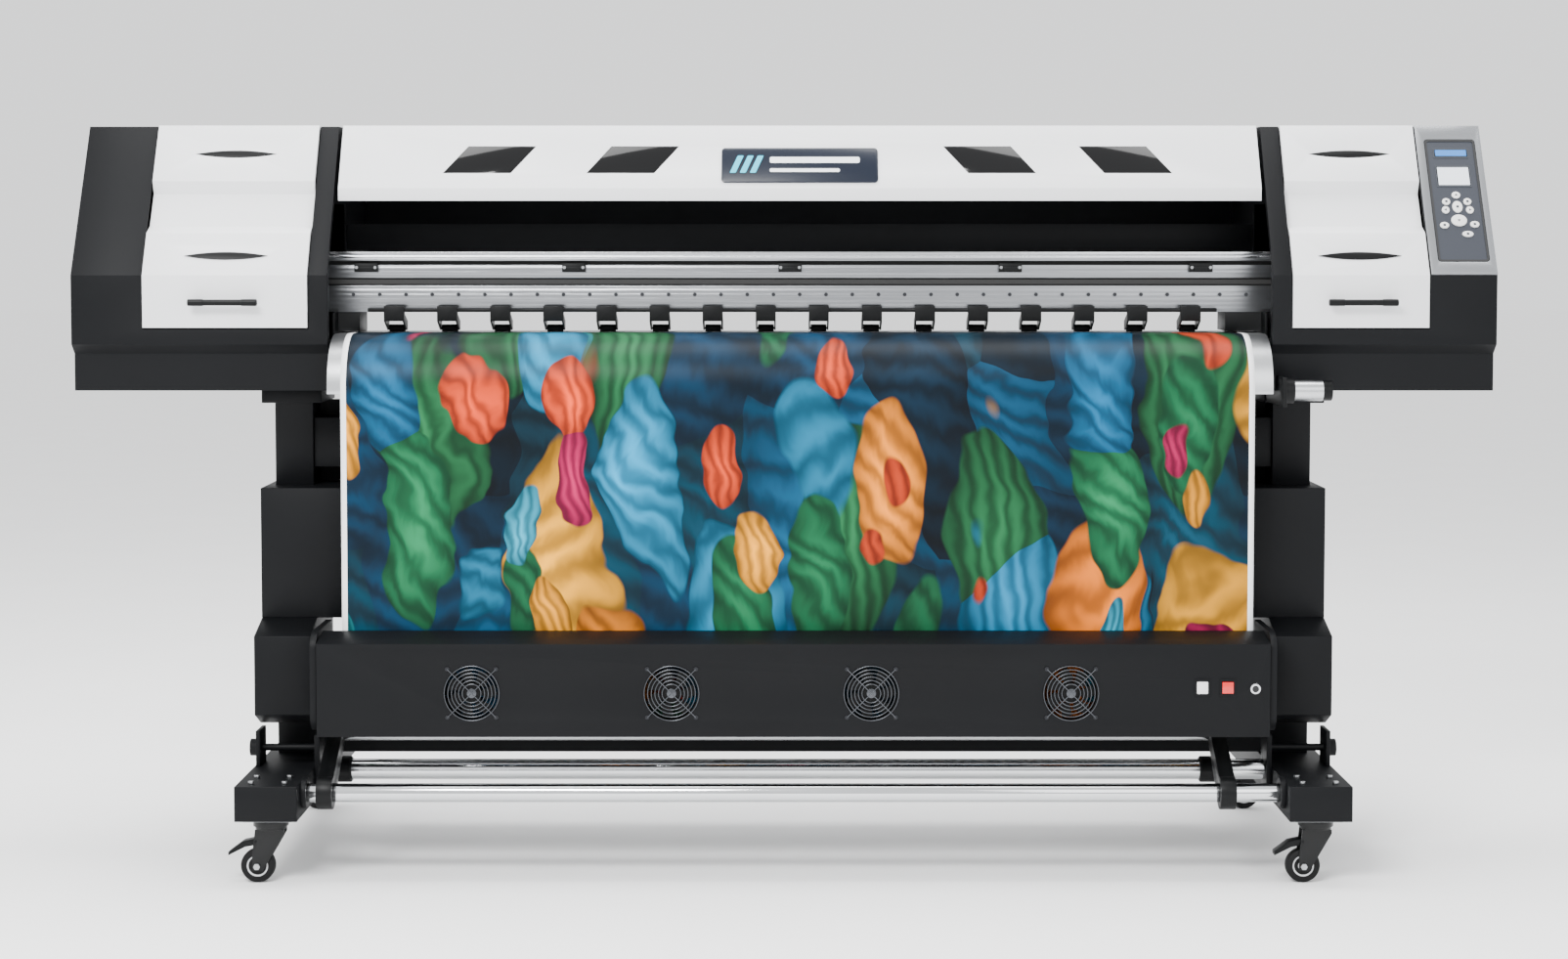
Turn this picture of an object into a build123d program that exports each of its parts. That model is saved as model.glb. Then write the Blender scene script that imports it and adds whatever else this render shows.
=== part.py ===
"""Roll-fed wide-format printer and cutter on a wheeled stand.

Two end cabinets stand on a pair of legs and carry a gantry beam between them.  The
carriage runs along the beam over a curved platen, pinch wheels press the vinyl on a
grit roller, and the web hangs down in front of a box of drying fans.

x runs to the right, y to the back and z up.  The origin is on the floor, midway
between the cabinets' ends and midway along the feet.  All sizes are millimetres.
"""
import os
from math import atan2, cos, hypot, sin

from build123d import *

os.makedirs("parts", exist_ok=True)

# Overall sizes and the shape of the end cabinets.
OVERALL_WIDTH = 2800.0
TOP_Z = 1468.0
FACE_Y = -210.0
CABINET_DEPTH = 520.0
LEFT_CABINET_WIDTH = 503.0
RIGHT_CABINET_WIDTH = 440.0
FOLD_Z = 1171.0
SLOPE_RUN = 170.0
LIP_Z = 1035.0
TRAY_TOP_Z = 1016.0
TRAY_SETBACK = 24.0
BASE_Z = 943.0
REAR_CHAMFER = 38.0
CASING_WALL = 3.0

# Doors and the hood between the cabinets.
SHEET = 3.0
FLANGE = 10.0
COVER_PROUD = 2.0
DOOR_GAP = 2.0
DOOR_BASE_Z = 1068.0
LEFT_DOOR_WIDTH = 323.0
RIGHT_DOOR_WIDTH = 267.0
DOOR_STRIP = 39.0
HOOD_GAP = 8.0
HOOD_LIP_TOP = 1343.0
HOOD_LIP_BASE = 1318.0
HINGE_Z = 1463.0
HINGE_PIN_RADIUS = 3.0
KNUCKLE_RADIUS = 5.5
KNUCKLE_WIDTH = 40.0
KNUCKLE_GAP = 1.5
KNUCKLE_INSET = 50.0
DOOR_HINGE_BACK = 206.0
HOOD_HINGE_BACK = 306.0
HINGE_GAP = 8.0

# Gantry beam, rail, belt and carriage.
BEAM_BACK = 105.0
BEAM_DEPTH = 100.0
BEAM_BASE_Z = 1096.0
BEAM_HEIGHT = 107.0
BEAM_WALL = 5.0
BEAM_END_GAP = 67.0
BELT_SLOT_Z = 1149.0
BELT_SLOT_HEIGHT = 15.0
BELT_SLOT_DEPTH = 26.0
RAIL_SLOT_HEIGHT = 8.0
RAIL_SLOT_DEPTH = 14.0
RAIL_WIDTH = 18.0
RAIL_HEIGHT = 13.0
RAIL_SETBACK = 2.0
PULLEY_RADIUS = 8.0
BELT_THICKNESS = 1.5
BELT_WIDTH = 10.0
CARRIAGE_WIDTH = 190.0
CARRIAGE_PARK_FROM_END = 207.0
CLIP_REACH = 14.0
CLIP_CLEARANCE = 3.0
RUNNING_GAP = 0.3

# Platen, media and feed rollers.
DECK_Z = 1054.1
PLATEN_FRONT = -50.0
PLATEN_RADIUS = 105.0
PLATEN_WALL = 3.0
PLATEN_BASE_Z = 940.0
REAR_PLATEN_RADIUS = 90.0
REAR_DECK_LENGTH = 40.0
GRIT_BACK = 140.0
GRIT_RADIUS = 12.0
GRIT_SLOT = 40.0
PLATEN_END_GAP = 6.0
MEDIA_SIDE_ROOM = 37.5
MEDIA_THICKNESS = 0.6
MEDIA_CENTRE_SHIFT = -5.0
MEDIA_END_Z = 300.0
ROLL_RADIUS = 80.0
ROLL_Z = 300.0
PINCH_COUNT = 16
PINCH_END_ROOM = 80.5
PINCH_WHEEL_RADIUS = 7.5
PINCH_WHEEL_WIDTH = 34.0
PINCH_ARM_WIDTH = 40.0
PINCH_SHAFT_RADIUS = 4.0
BORE_CLEARANCE = 0.06
SIDE_BLOCK_LEFT = 48.0
SIDE_BLOCK_RIGHT = 77.0

# Stand.
STAND_CENTRE_X = 18.0
LEG_INSET = 390.0
FOOT_LENGTH = 800.0
FOOT_WIDTH = 120.0
FOOT_HEIGHT = 68.0
FOOT_Z = 128.0
FOOT_WALL = 3.0
COLUMN_WIDTH = 77.0
COLUMN_DEPTH = 110.0
COLUMN_BACK = 160.0
COLUMN_WALL = 4.0
BRACKET_HEIGHT = 31.0
COVER_WALL = 3.0

# Dryer box and fans.
DRYER_FRONT = -140.0
DRYER_DEPTH = 80.0
DRYER_BASE_Z = 283.0
DRYER_FACE_HEIGHT = 180.0
DRYER_HEIGHT = 195.0
DRYER_END_INSET = 91.0
DRYER_WALL = 2.0
FAN_COUNT = 4
FAN_PITCH = 385.0
FAN_CENTRE_X = -26.0
FAN_Z = 368.0
FAN_FRAME = 112.0
FAN_DEPTH = 25.0
FAN_BORE = 52.0
FAN_SCREW_SPACING = 94.0

# Rollers below the dryer box, and the castors.
TAKEUP_BACK = 45.0
TAKEUP_Z = 185.0
TAKEUP_RADIUS = 20.0
DANCER_BACK = -126.0
DANCER_Z = 172.0
DANCER_RADIUS = 18.0
DANCER_BAR_BACK = 10.0
DANCER_BAR_Z = 262.0
DANCER_BAR_RADIUS = 12.0
JOURNAL_RADIUS = 10.0
WHEEL_RADIUS = 33.0
WHEEL_WIDTH = 26.0
CASTOR_TRAIL = 25.0
CASTOR_INSET = 57.0

# Places worked out from the sizes above.
LEFT_END = -OVERALL_WIDTH / 2
RIGHT_END = OVERALL_WIDTH / 2
LEFT_INNER = LEFT_END + LEFT_CABINET_WIDTH
RIGHT_INNER = RIGHT_END - RIGHT_CABINET_WIDTH
BAY_CENTRE = (LEFT_INNER + RIGHT_INNER) / 2
SLOPE_RISE = TOP_Z - FOLD_Z
SLOPE_ANGLE = atan2(SLOPE_RUN, SLOPE_RISE)
LEG_SPACING = OVERALL_WIDTH - 2 * LEG_INSET
LEG_XS = (STAND_CENTRE_X - LEG_SPACING / 2, STAND_CENTRE_X + LEG_SPACING / 2)
FOOT_TOP = FOOT_Z + FOOT_HEIGHT
BAY_WIDTH = RIGHT_INNER - LEFT_INNER
MEDIA_WIDTH = BAY_WIDTH - 2 * MEDIA_SIDE_ROOM
PINCH_PITCH = (BAY_WIDTH - 2 * PINCH_END_ROOM) / PINCH_COUNT
MEDIA_LOW = BAY_CENTRE + MEDIA_CENTRE_SHIFT - MEDIA_WIDTH / 2
MEDIA_HIGH = MEDIA_LOW + MEDIA_WIDTH
WEB_BASE = DECK_Z + RUNNING_GAP
WEB_TOP = WEB_BASE + MEDIA_THICKNESS
DRYER_WIDTH = LEG_SPACING - 2 * DRYER_END_INSET
DRYER_LOW = STAND_CENTRE_X - DRYER_WIDTH / 2
DRYER_HIGH = DRYER_LOW + DRYER_WIDTH
RAIL_TOP = BEAM_BASE_Z + BEAM_HEIGHT + RAIL_HEIGHT


def back(depth):
    """y of a place that lies depth behind the cabinets' front face."""
    return FACE_Y + depth


def slope_y(z, proud):
    """y of a line parallel to the cabinets' slope, proud in front of it."""
    return back((z - FOLD_Z) * SLOPE_RUN / SLOPE_RISE - proud)


def slope_plane(proud):
    """Plane on the slope: local x is right, local y runs up the slope."""
    return Plane(
        origin=(0, slope_y(FOLD_Z, proud), FOLD_Z),
        x_dir=(1, 0, 0),
        z_dir=(0, -cos(SLOPE_ANGLE), sin(SLOPE_ANGLE)),
    )


def sheet_outline(points, thickness):
    """Closed outline of a folded sheet: its outer fold line, and a copy inside it."""
    inner = []
    last = len(points) - 1
    for i, (y, z) in enumerate(points):
        normals = []
        for j in (max(i, 1), min(i + 1, last)):
            dy = points[j][0] - points[j - 1][0]
            dz = points[j][1] - points[j - 1][1]
            length = hypot(dy, dz)
            normals.append((-dz / length, dy / length))
        (ay, az), (by, bz) = normals
        scale = thickness / (1 + ay * by + az * bz)
        inner.append((y + (ay + by) * scale, z + (az + bz) * scale))
    return points + inner[::-1]


def save(piece, name):
    """Label a finished piece and write it as its node's file."""
    piece.part.label = name
    export_step(piece.part, f"parts/{name}.step")


def block(x, y, z):
    """A box between two corners, given as (low, high) pairs, in the open part."""
    with Locations(((x[0] + x[1]) / 2, (y[0] + y[1]) / 2, (z[0] + z[1]) / 2)):
        Box(x[1] - x[0], y[1] - y[0], z[1] - z[0])


def cut(x, y, z):
    """The same box, taken away."""
    with Locations(((x[0] + x[1]) / 2, (y[0] + y[1]) / 2, (z[0] + z[1]) / 2)):
        Box(x[1] - x[0], y[1] - y[0], z[1] - z[0], mode=Mode.SUBTRACT)


def rod(x, y, z, radius, mode=Mode.ADD):
    """A cylinder along x, between x[0] and x[1]."""
    with BuildSketch(Plane.YZ.offset(x[0])) as disc:
        with Locations((y, z)):
            Circle(radius)
    extrude(disc.sketch, amount=x[1] - x[0], mode=mode)


def prism(x, points, mode=Mode.ADD):
    """A closed outline in y and z, drawn out along x."""
    with BuildSketch(Plane.YZ.offset(x[0])) as outline:
        with BuildLine():
            Polyline(*points, close=True)
        make_face()
    extrude(outline.sketch, amount=x[1] - x[0], mode=mode)


def hinge_pin(x, depth, knuckle_xs):
    """A pin along a cover sheet's front edge, with a notch in the sheet at each knuckle."""
    half = KNUCKLE_WIDTH / 2 + KNUCKLE_GAP
    for middle in knuckle_xs:
        cut(
            (middle - half, middle + half),
            (back(depth) - 1, back(depth) + KNUCKLE_RADIUS + KNUCKLE_GAP),
            (HINGE_Z - KNUCKLE_RADIUS - KNUCKLE_GAP, TOP_Z + 1),
        )
    rod(x, back(depth), HINGE_Z, HINGE_PIN_RADIUS)


def hinge_knuckles(depth, knuckle_xs):
    """Bored knuckles, each on a strap under the cover's back edge."""
    hinge_y = back(depth)
    under = TOP_Z + COVER_PROUD - SHEET
    for middle in knuckle_xs:
        x = (middle - KNUCKLE_WIDTH / 2, middle + KNUCKLE_WIDTH / 2)
        rod(x, hinge_y, HINGE_Z, KNUCKLE_RADIUS)
        prism(x, [
            (hinge_y - 22, under - 2.5),
            (hinge_y - 22, under + 0.5),
            (hinge_y - HINGE_GAP, under + 0.5),
            (hinge_y, HINGE_Z + KNUCKLE_RADIUS - 0.5),
            (hinge_y, HINGE_Z),
        ])
        rod(x, hinge_y, HINGE_Z, HINGE_PIN_RADIUS + BORE_CLEARANCE, Mode.SUBTRACT)


# ---------------------------------------------------------------- end cabinets
CABINET_OUTLINE = [
    (back(0), FOLD_Z),
    (back(SLOPE_RUN), TOP_Z),
    (back(CABINET_DEPTH - REAR_CHAMFER), TOP_Z),
    (back(CABINET_DEPTH), TOP_Z - REAR_CHAMFER),
    (back(CABINET_DEPTH), BASE_Z),
    (back(TRAY_SETBACK), BASE_Z),
    (back(TRAY_SETBACK), TRAY_TOP_Z),
    (back(0), LIP_Z),
]
# The window in each inner side wall that the beam and the carriage pass through.
PASSAGE_OUTLINE = [
    (back(24), BEAM_BASE_Z - 52),
    (back(24), FOLD_Z + 19),
    (back(100), HOOD_LIP_BASE - 6),
    (back(240), HOOD_LIP_BASE - 6),
    (back(240), BEAM_BASE_Z - 52),
]
LEFT_DOOR_X = (LEFT_INNER - DOOR_STRIP - LEFT_DOOR_WIDTH, LEFT_INNER - DOOR_STRIP)
RIGHT_DOOR_X = (RIGHT_INNER + DOOR_STRIP, RIGHT_INNER + DOOR_STRIP + RIGHT_DOOR_WIDTH)


def door_knuckle_xs(door_x):
    """Middles of a door's two hinge knuckles."""
    return (door_x[0] + KNUCKLE_INSET, door_x[1] - KNUCKLE_INSET)


def casing(x, wall_x, door_x):
    """Sheet-metal shell of one end cabinet, open behind its door and at the passage."""
    with BuildPart() as shell:
        prism(x, CABINET_OUTLINE)
        with BuildSketch(Plane.YZ.offset(x[0] + CASING_WALL)):
            with BuildLine():
                Polyline(*CABINET_OUTLINE, close=True)
            make_face()
            offset(amount=-CASING_WALL, kind=Kind.INTERSECTION)
        extrude(amount=x[1] - x[0] - 2 * CASING_WALL, mode=Mode.SUBTRACT)
        cut(
            (door_x[0] - DOOR_GAP, door_x[1] + DOOR_GAP),
            (back(-20), back(DOOR_HINGE_BACK)),
            (DOOR_BASE_Z - DOOR_GAP, TOP_Z + 20),
        )
        prism((wall_x - 2 * CASING_WALL, wall_x + 2 * CASING_WALL), PASSAGE_OUTLINE, Mode.SUBTRACT)
        hinge_pin(
            (door_x[0] - DOOR_GAP - 2, door_x[1] + DOOR_GAP + 2),
            DOOR_HINGE_BACK, door_knuckle_xs(door_x),
        )
    return shell


left_casing = casing((LEFT_END, LEFT_INNER), LEFT_INNER, LEFT_DOOR_X)
save(left_casing, "left_casing")
right_casing = casing((RIGHT_INNER, RIGHT_END), RIGHT_INNER, RIGHT_DOOR_X)
save(right_casing, "right_casing")

# ---------------------------------------------------------------------- doors
COVER_TOP = TOP_Z + COVER_PROUD
DOOR_LINE = [
    (back(DOOR_HINGE_BACK - HINGE_GAP), COVER_TOP),
    (slope_y(COVER_TOP, 8), COVER_TOP),
    (slope_y(1357, 8), 1357),
    (slope_y(1331, -17), 1331),
    (slope_y(1267, -15), 1267),
    (slope_y(1254, 7), 1254),
    (back(-5), FOLD_Z),
    (back(-5), DOOR_BASE_Z),
]
GRIP_LENGTH = 165.0
GRIP_HEIGHT = 17.0
GRIP_SLOPE_PLACES = (277.0, 44.0)
HANDLE_LENGTH = 135.0
HANDLE_Z = 1118.0
HANDLE_STANDOFF = 22.0


def lens(length, height):
    """A pointed oval in the open sketch."""
    with BuildLine() as edge:
        ThreePointArc((-length / 2, 0), (0, height / 2), (length / 2, 0))
        ThreePointArc((length / 2, 0), (0, -height / 2), (-length / 2, 0))
    make_face(edge.edges())


def door(x):
    """A folded door skin with a shallow return down each side."""
    with BuildPart() as skin:
        prism(x, sheet_outline(DOOR_LINE, SHEET))
        for low in (x[0], x[1] - SHEET):
            prism((low, low + SHEET), sheet_outline(DOOR_LINE, FLANGE))
        for place in GRIP_SLOPE_PLACES:
            with BuildSketch(slope_plane(7.5).shift_origin(slope_plane(7.5).from_local_coords(
                    (sum(x) / 2, place, 0)))):
                lens(GRIP_LENGTH, GRIP_HEIGHT)
            extrude(amount=20, both=True, mode=Mode.SUBTRACT)
        hinge_knuckles(DOOR_HINGE_BACK, door_knuckle_xs(x))
    return skin


def door_handles(x):
    """Two dished finger grips in the slope, and a bar handle on the door's face."""
    middle = sum(x) / 2
    with BuildPart() as fittings:
        for place in GRIP_SLOPE_PLACES:
            seat = slope_plane(7.5)
            with BuildSketch(seat.shift_origin(seat.from_local_coords((middle, place, 0))).offset(-5)):
                lens(GRIP_LENGTH - 0.6, GRIP_HEIGHT - 0.6)
            extrude(amount=5)
        face_y = back(-5)
        for side in (-1, 1):
            post = middle + side * (HANDLE_LENGTH / 2 - 12)
            block((post - 5, post + 5), (face_y - HANDLE_STANDOFF, face_y), (HANDLE_Z - 5, HANDLE_Z + 5))
        rod(
            (middle - HANDLE_LENGTH / 2, middle + HANDLE_LENGTH / 2),
            face_y - HANDLE_STANDOFF, HANDLE_Z, 6,
        )
    return fittings


left_door = door(LEFT_DOOR_X)
save(left_door, "left_door")
left_door_handles = door_handles(LEFT_DOOR_X)
save(left_door_handles, "left_door_handles")
right_door = door(RIGHT_DOOR_X)
save(right_door, "right_door")
right_door_handles = door_handles(RIGHT_DOOR_X)
save(right_door_handles, "right_door_handles")

# ------------------------------------------------------- hood and rear cover
HOOD_X = (LEFT_INNER + HOOD_GAP, RIGHT_INNER - HOOD_GAP)
HOOD_LINE = [
    (back(HOOD_HINGE_BACK - HINGE_GAP), COVER_TOP),
    (slope_y(COVER_TOP, COVER_PROUD), COVER_TOP),
    (slope_y(HOOD_LIP_TOP, COVER_PROUD), HOOD_LIP_TOP),
    (slope_y(HOOD_LIP_TOP, COVER_PROUD), HOOD_LIP_BASE),
    (slope_y(HOOD_LIP_TOP, COVER_PROUD) + FLANGE, HOOD_LIP_BASE),
]
WINDOW_XS = (-590.0, -303.0, 412.0, 684.0)
WINDOW_LEANS = (49.0, 49.0, -49.0, -49.0)
WINDOW_WIDTH = 136.0
WINDOW_SLOPE = (233.0, 296.0)
PANE_GAP = 0.3
BADGE_SIZE = (313.0, 80.0)
BADGE_SLOPE_PLACE = 250.0
HOOD_KNUCKLE_XS = [BAY_CENTRE + place for place in (-800, -270, 270, 800)]


def window_outline(x, lean, inset):
    """Corners of a slanted window, drawn in by inset all round."""
    low, high = WINDOW_SLOPE
    half = WINDOW_WIDTH / 2 - inset
    return [
        (x - lean / 2 - half, low + inset),
        (x - lean / 2 + half, low + inset),
        (x + lean / 2 + half, high - inset),
        (x + lean / 2 - half, high - inset),
    ]


with BuildPart() as hood:
    prism(HOOD_X, sheet_outline(HOOD_LINE, SHEET))
    for low in (HOOD_X[0], HOOD_X[1] - SHEET):
        prism((low, low + SHEET), sheet_outline(HOOD_LINE[:4], FLANGE))
    for x, lean in zip(WINDOW_XS, WINDOW_LEANS):
        with BuildSketch(slope_plane(COVER_PROUD)):
            with BuildLine():
                Polyline(*window_outline(x, lean, 0), close=True)
            make_face()
        extrude(amount=12, both=True, mode=Mode.SUBTRACT)
    hinge_knuckles(HOOD_HINGE_BACK, HOOD_KNUCKLE_XS)
save(hood, "hood")

with BuildPart() as hood_inserts:
    for x, lean in zip(WINDOW_XS, WINDOW_LEANS):
        with BuildSketch(slope_plane(COVER_PROUD).offset(-2.5)):
            with BuildLine():
                Polyline(*window_outline(x, lean, PANE_GAP), close=True)
            make_face()
        extrude(amount=2.0)
    with BuildSketch(slope_plane(COVER_PROUD)):
        with Locations((BAY_CENTRE, BADGE_SLOPE_PLACE)):
            RectangleRounded(BADGE_SIZE[0], BADGE_SIZE[1], 8)
    extrude(amount=4)
save(hood_inserts, "hood_inserts")

with BuildPart() as rear_cover:
    prism((LEFT_INNER, RIGHT_INNER), sheet_outline([
        (back(CABINET_DEPTH), 1090),
        (back(CABINET_DEPTH), TOP_Z - REAR_CHAMFER),
        (back(CABINET_DEPTH - REAR_CHAMFER), TOP_Z),
        (back(HOOD_HINGE_BACK), TOP_Z),
    ], SHEET))
    block((LEFT_INNER, RIGHT_INNER), (back(250), back(253)), (1219, 1272))
    hinge_pin((LEFT_INNER, RIGHT_INNER), HOOD_HINGE_BACK, HOOD_KNUCKLE_XS)
save(rear_cover, "rear_cover")

# -------------------------------------------------------------- control panel
PANEL_WIDTH = 100.0
PANEL_SLOPE = (29.0, 309.0)
PANEL_X = RIGHT_END - 63
PANEL_THICKNESS = 2.5
BEZEL_THICKNESS = 4.0
BEZEL_X = (RIGHT_DOOR_X[1] + 2 * DOOR_GAP, RIGHT_END)
SLOPE_LENGTH = hypot(SLOPE_RUN, SLOPE_RISE)
KEYPAD_SLOPE = 153.0
KEY_GAP = 0.4
KEY_BASE = 1.2
KEY_TOP = 5.0
# Each key: its place from the pad's centre, and its width and height.
KEYS = {
    "enter": (0, 0, 20, 26),
    "up": (0, 27, 17, 15),
    "menu": (-21, 12, 16, 15),
    "pause": (21, 12, 16, 15),
    "left": (-24, -7, 15, 16),
    "right": (24, -7, 15, 16),
    "down": (0, -31, 31, 26),
    "home": (-30, -42, 18, 14),
    "test": (30, -40, 18, 14),
    "cut": (14, -62, 22, 13),
}


def key_outline(key, grow, mode=Mode.ADD):
    """A key's rounded outline in the open sketch, grown all round."""
    x, y, width, height = KEYS[key]
    with Locations((PANEL_X + x, KEYPAD_SLOPE + y)):
        Ellipse(width / 2 + grow, height / 2 + grow, mode=mode)


with BuildPart() as control_bezel:
    with BuildSketch(slope_plane(0)):
        with Locations((sum(BEZEL_X) / 2, SLOPE_LENGTH / 2)):
            Rectangle(BEZEL_X[1] - BEZEL_X[0], SLOPE_LENGTH)
        with Locations((PANEL_X, sum(PANEL_SLOPE) / 2)):
            RectangleRounded(
                PANEL_WIDTH + 2, PANEL_SLOPE[1] - PANEL_SLOPE[0] + 2, 7, mode=Mode.SUBTRACT,
            )
    extrude(amount=BEZEL_THICKNESS)
save(control_bezel, "control_bezel")

with BuildPart() as control_panel:
    with BuildSketch(slope_plane(0)):
        with Locations((PANEL_X, sum(PANEL_SLOPE) / 2)):
            RectangleRounded(PANEL_WIDTH, PANEL_SLOPE[1] - PANEL_SLOPE[0], 6)
        for key in KEYS:
            key_outline(key, KEY_GAP, Mode.SUBTRACT)
    extrude(amount=PANEL_THICKNESS)
    with BuildSketch(slope_plane(0).offset(PANEL_THICKNESS)):
        with Locations((PANEL_X, KEYPAD_SLOPE + 125)):
            Rectangle(66, 17)
        with Locations((PANEL_X, KEYPAD_SLOPE + 71)):
            Rectangle(66, 44)
    extrude(amount=0.8)
save(control_panel, "control_panel")

for key in KEYS:
    with BuildPart() as button:
        with BuildSketch(slope_plane(0).offset(KEY_BASE)):
            key_outline(key, 0)
        extrude(amount=KEY_TOP - KEY_BASE)
    save(button, f"key_{key}")

# --------------------------------------------------- beam, rail, belt, carriage
BEAM_X = (LEFT_END + BEAM_END_GAP, RIGHT_END - BEAM_END_GAP)
BEAM_TOP = BEAM_BASE_Z + BEAM_HEIGHT
BEAM_Y = (back(BEAM_BACK), back(BEAM_BACK + BEAM_DEPTH))
SLOT_BACK_Y = BEAM_Y[0] + BELT_SLOT_DEPTH
RAIL_SLOT_Z = BEAM_TOP - BEAM_WALL - RAIL_SLOT_HEIGHT

with BuildPart() as beam:
    block(BEAM_X, BEAM_Y, (BEAM_BASE_Z, BEAM_TOP))
    cut(BEAM_X, (BEAM_Y[0], SLOT_BACK_Y), (BELT_SLOT_Z, BELT_SLOT_Z + BELT_SLOT_HEIGHT))
    cut(BEAM_X, (BEAM_Y[0], BEAM_Y[0] + RAIL_SLOT_DEPTH), (RAIL_SLOT_Z, RAIL_SLOT_Z + RAIL_SLOT_HEIGHT))
    for low, high in (
        (BEAM_BASE_Z + BEAM_WALL, BELT_SLOT_Z - BEAM_WALL),
        (BELT_SLOT_Z + BELT_SLOT_HEIGHT + BEAM_WALL, RAIL_SLOT_Z - BEAM_WALL),
    ):
        cut(BEAM_X, (BEAM_Y[0] + BEAM_WALL, SLOT_BACK_Y), (low, high))
    cut(
        BEAM_X, (SLOT_BACK_Y + BEAM_WALL, BEAM_Y[1] - BEAM_WALL),
        (BEAM_BASE_Z + BEAM_WALL, BEAM_TOP - BEAM_WALL),
    )
save(beam, "beam")

RAIL_Y = (BEAM_Y[0] + RAIL_SETBACK, BEAM_Y[0] + RAIL_SETBACK + RAIL_WIDTH)
with BuildPart() as guide_rail:
    prism(BEAM_X, [
        (RAIL_Y[0], BEAM_TOP),
        (RAIL_Y[0], BEAM_TOP + 4),
        (RAIL_Y[0] + 2, BEAM_TOP + 6),
        (RAIL_Y[0], BEAM_TOP + 8),
        (RAIL_Y[0], RAIL_TOP),
        (RAIL_Y[1], RAIL_TOP),
        (RAIL_Y[1], BEAM_TOP + 8),
        (RAIL_Y[1] - 2, BEAM_TOP + 6),
        (RAIL_Y[1], BEAM_TOP + 4),
        (RAIL_Y[1], BEAM_TOP),
    ])
save(guide_rail, "guide_rail")

BELT_Z = BELT_SLOT_Z + (BELT_SLOT_HEIGHT - BELT_WIDTH) / 2
BELT_Y = BEAM_Y[0] + BELT_SLOT_DEPTH / 2
PULLEY_SPAN = BEAM_X[1] - BEAM_X[0] - 6 * PULLEY_RADIUS
with BuildPart() as drive_belt:
    with BuildSketch(Plane.XY.offset(BELT_Z)):
        with Locations((0, BELT_Y)):
            SlotCenterToCenter(PULLEY_SPAN, 2 * (PULLEY_RADIUS + BELT_THICKNESS))
            SlotCenterToCenter(PULLEY_SPAN, 2 * PULLEY_RADIUS, mode=Mode.SUBTRACT)
    extrude(amount=BELT_WIDTH)
    with BuildSketch(Plane.XY.offset(BELT_Z)):
        with Locations((-PULLEY_SPAN / 2, BELT_Y), (PULLEY_SPAN / 2, BELT_Y)):
            Circle(PULLEY_RADIUS - RUNNING_GAP)
    extrude(amount=BELT_WIDTH)
save(drive_belt, "drive_belt")

CARRIAGE_X = (
    RIGHT_END - CARRIAGE_PARK_FROM_END - CARRIAGE_WIDTH / 2,
    RIGHT_END - CARRIAGE_PARK_FROM_END + CARRIAGE_WIDTH / 2,
)
CARRIAGE_TOP = HOOD_LIP_BASE - 48
HEAD_Z = WEB_TOP + 3
with BuildPart() as carriage:
    prism(CARRIAGE_X, [
        (back(46), HEAD_Z + 12),
        (back(46), FOLD_Z - 1),
        (back(104), CARRIAGE_TOP),
        (back(BEAM_BACK + 35), CARRIAGE_TOP),
        (back(BEAM_BACK + 35), RAIL_TOP + 1),
        (BEAM_Y[0] - CLIP_REACH - CLIP_CLEARANCE, RAIL_TOP + 1),
        (BEAM_Y[0] - CLIP_REACH - CLIP_CLEARANCE, BEAM_BASE_Z + 16),
        (back(84), BEAM_BASE_Z + 16),
        (back(84), HEAD_Z + 12),
    ])
    for place in (-55, 0, 55):
        middle = sum(CARRIAGE_X) / 2 + place
        block((middle - 18, middle + 18), (back(56), back(80)), (HEAD_Z, HEAD_Z + 12))
save(carriage, "carriage")

# ------------------------------------------- platen, side plates, media and feed
PLATEN_X = (LEFT_INNER + PLATEN_END_GAP, RIGHT_INNER - PLATEN_END_GAP)
GRIT_Y = back(GRIT_BACK)
GRIT_Z = DECK_Z - GRIT_RADIUS
FRONT_DECK_END = GRIT_Y - GRIT_SLOT / 2
REAR_DECK_START = GRIT_Y + GRIT_SLOT / 2
REAR_ARC_Y = REAR_DECK_START + REAR_DECK_LENGTH
FRONT_ARC_Y = back(PLATEN_FRONT + PLATEN_RADIUS)


def curved_sheet(x, deck, radius, edge_y, arc_y, drop_z, thickness):
    """A sheet that runs level at height deck from edge_y, rolls over and hangs down."""
    side = 1 if arc_y > edge_y else -1
    inner = radius - thickness
    slant = 0.7071067811865476
    centre_z = deck - radius
    with BuildSketch(Plane.YZ.offset(x[0])) as outline:
        with BuildLine():
            Line((edge_y, deck), (arc_y, deck))
            ThreePointArc(
                (arc_y, deck),
                (arc_y + side * radius * slant, centre_z + radius * slant),
                (arc_y + side * radius, centre_z),
            )
            Line((arc_y + side * radius, centre_z), (arc_y + side * radius, drop_z))
            Line((arc_y + side * radius, drop_z), (arc_y + side * inner, drop_z))
            Line((arc_y + side * inner, drop_z), (arc_y + side * inner, centre_z))
            ThreePointArc(
                (arc_y + side * inner, centre_z),
                (arc_y + side * inner * slant, centre_z + inner * slant),
                (arc_y, deck - thickness),
            )
            Line((arc_y, deck - thickness), (edge_y, deck - thickness))
            Line((edge_y, deck - thickness), (edge_y, deck))
        make_face()
    extrude(outline.sketch, amount=x[1] - x[0])


with BuildPart() as platens:
    curved_sheet(
        PLATEN_X, DECK_Z, PLATEN_RADIUS, FRONT_DECK_END, FRONT_ARC_Y, PLATEN_BASE_Z, PLATEN_WALL,
    )
    curved_sheet(
        PLATEN_X, DECK_Z, REAR_PLATEN_RADIUS, REAR_DECK_START, REAR_ARC_Y, PLATEN_BASE_Z, PLATEN_WALL,
    )
save(platens, "platens")

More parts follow.
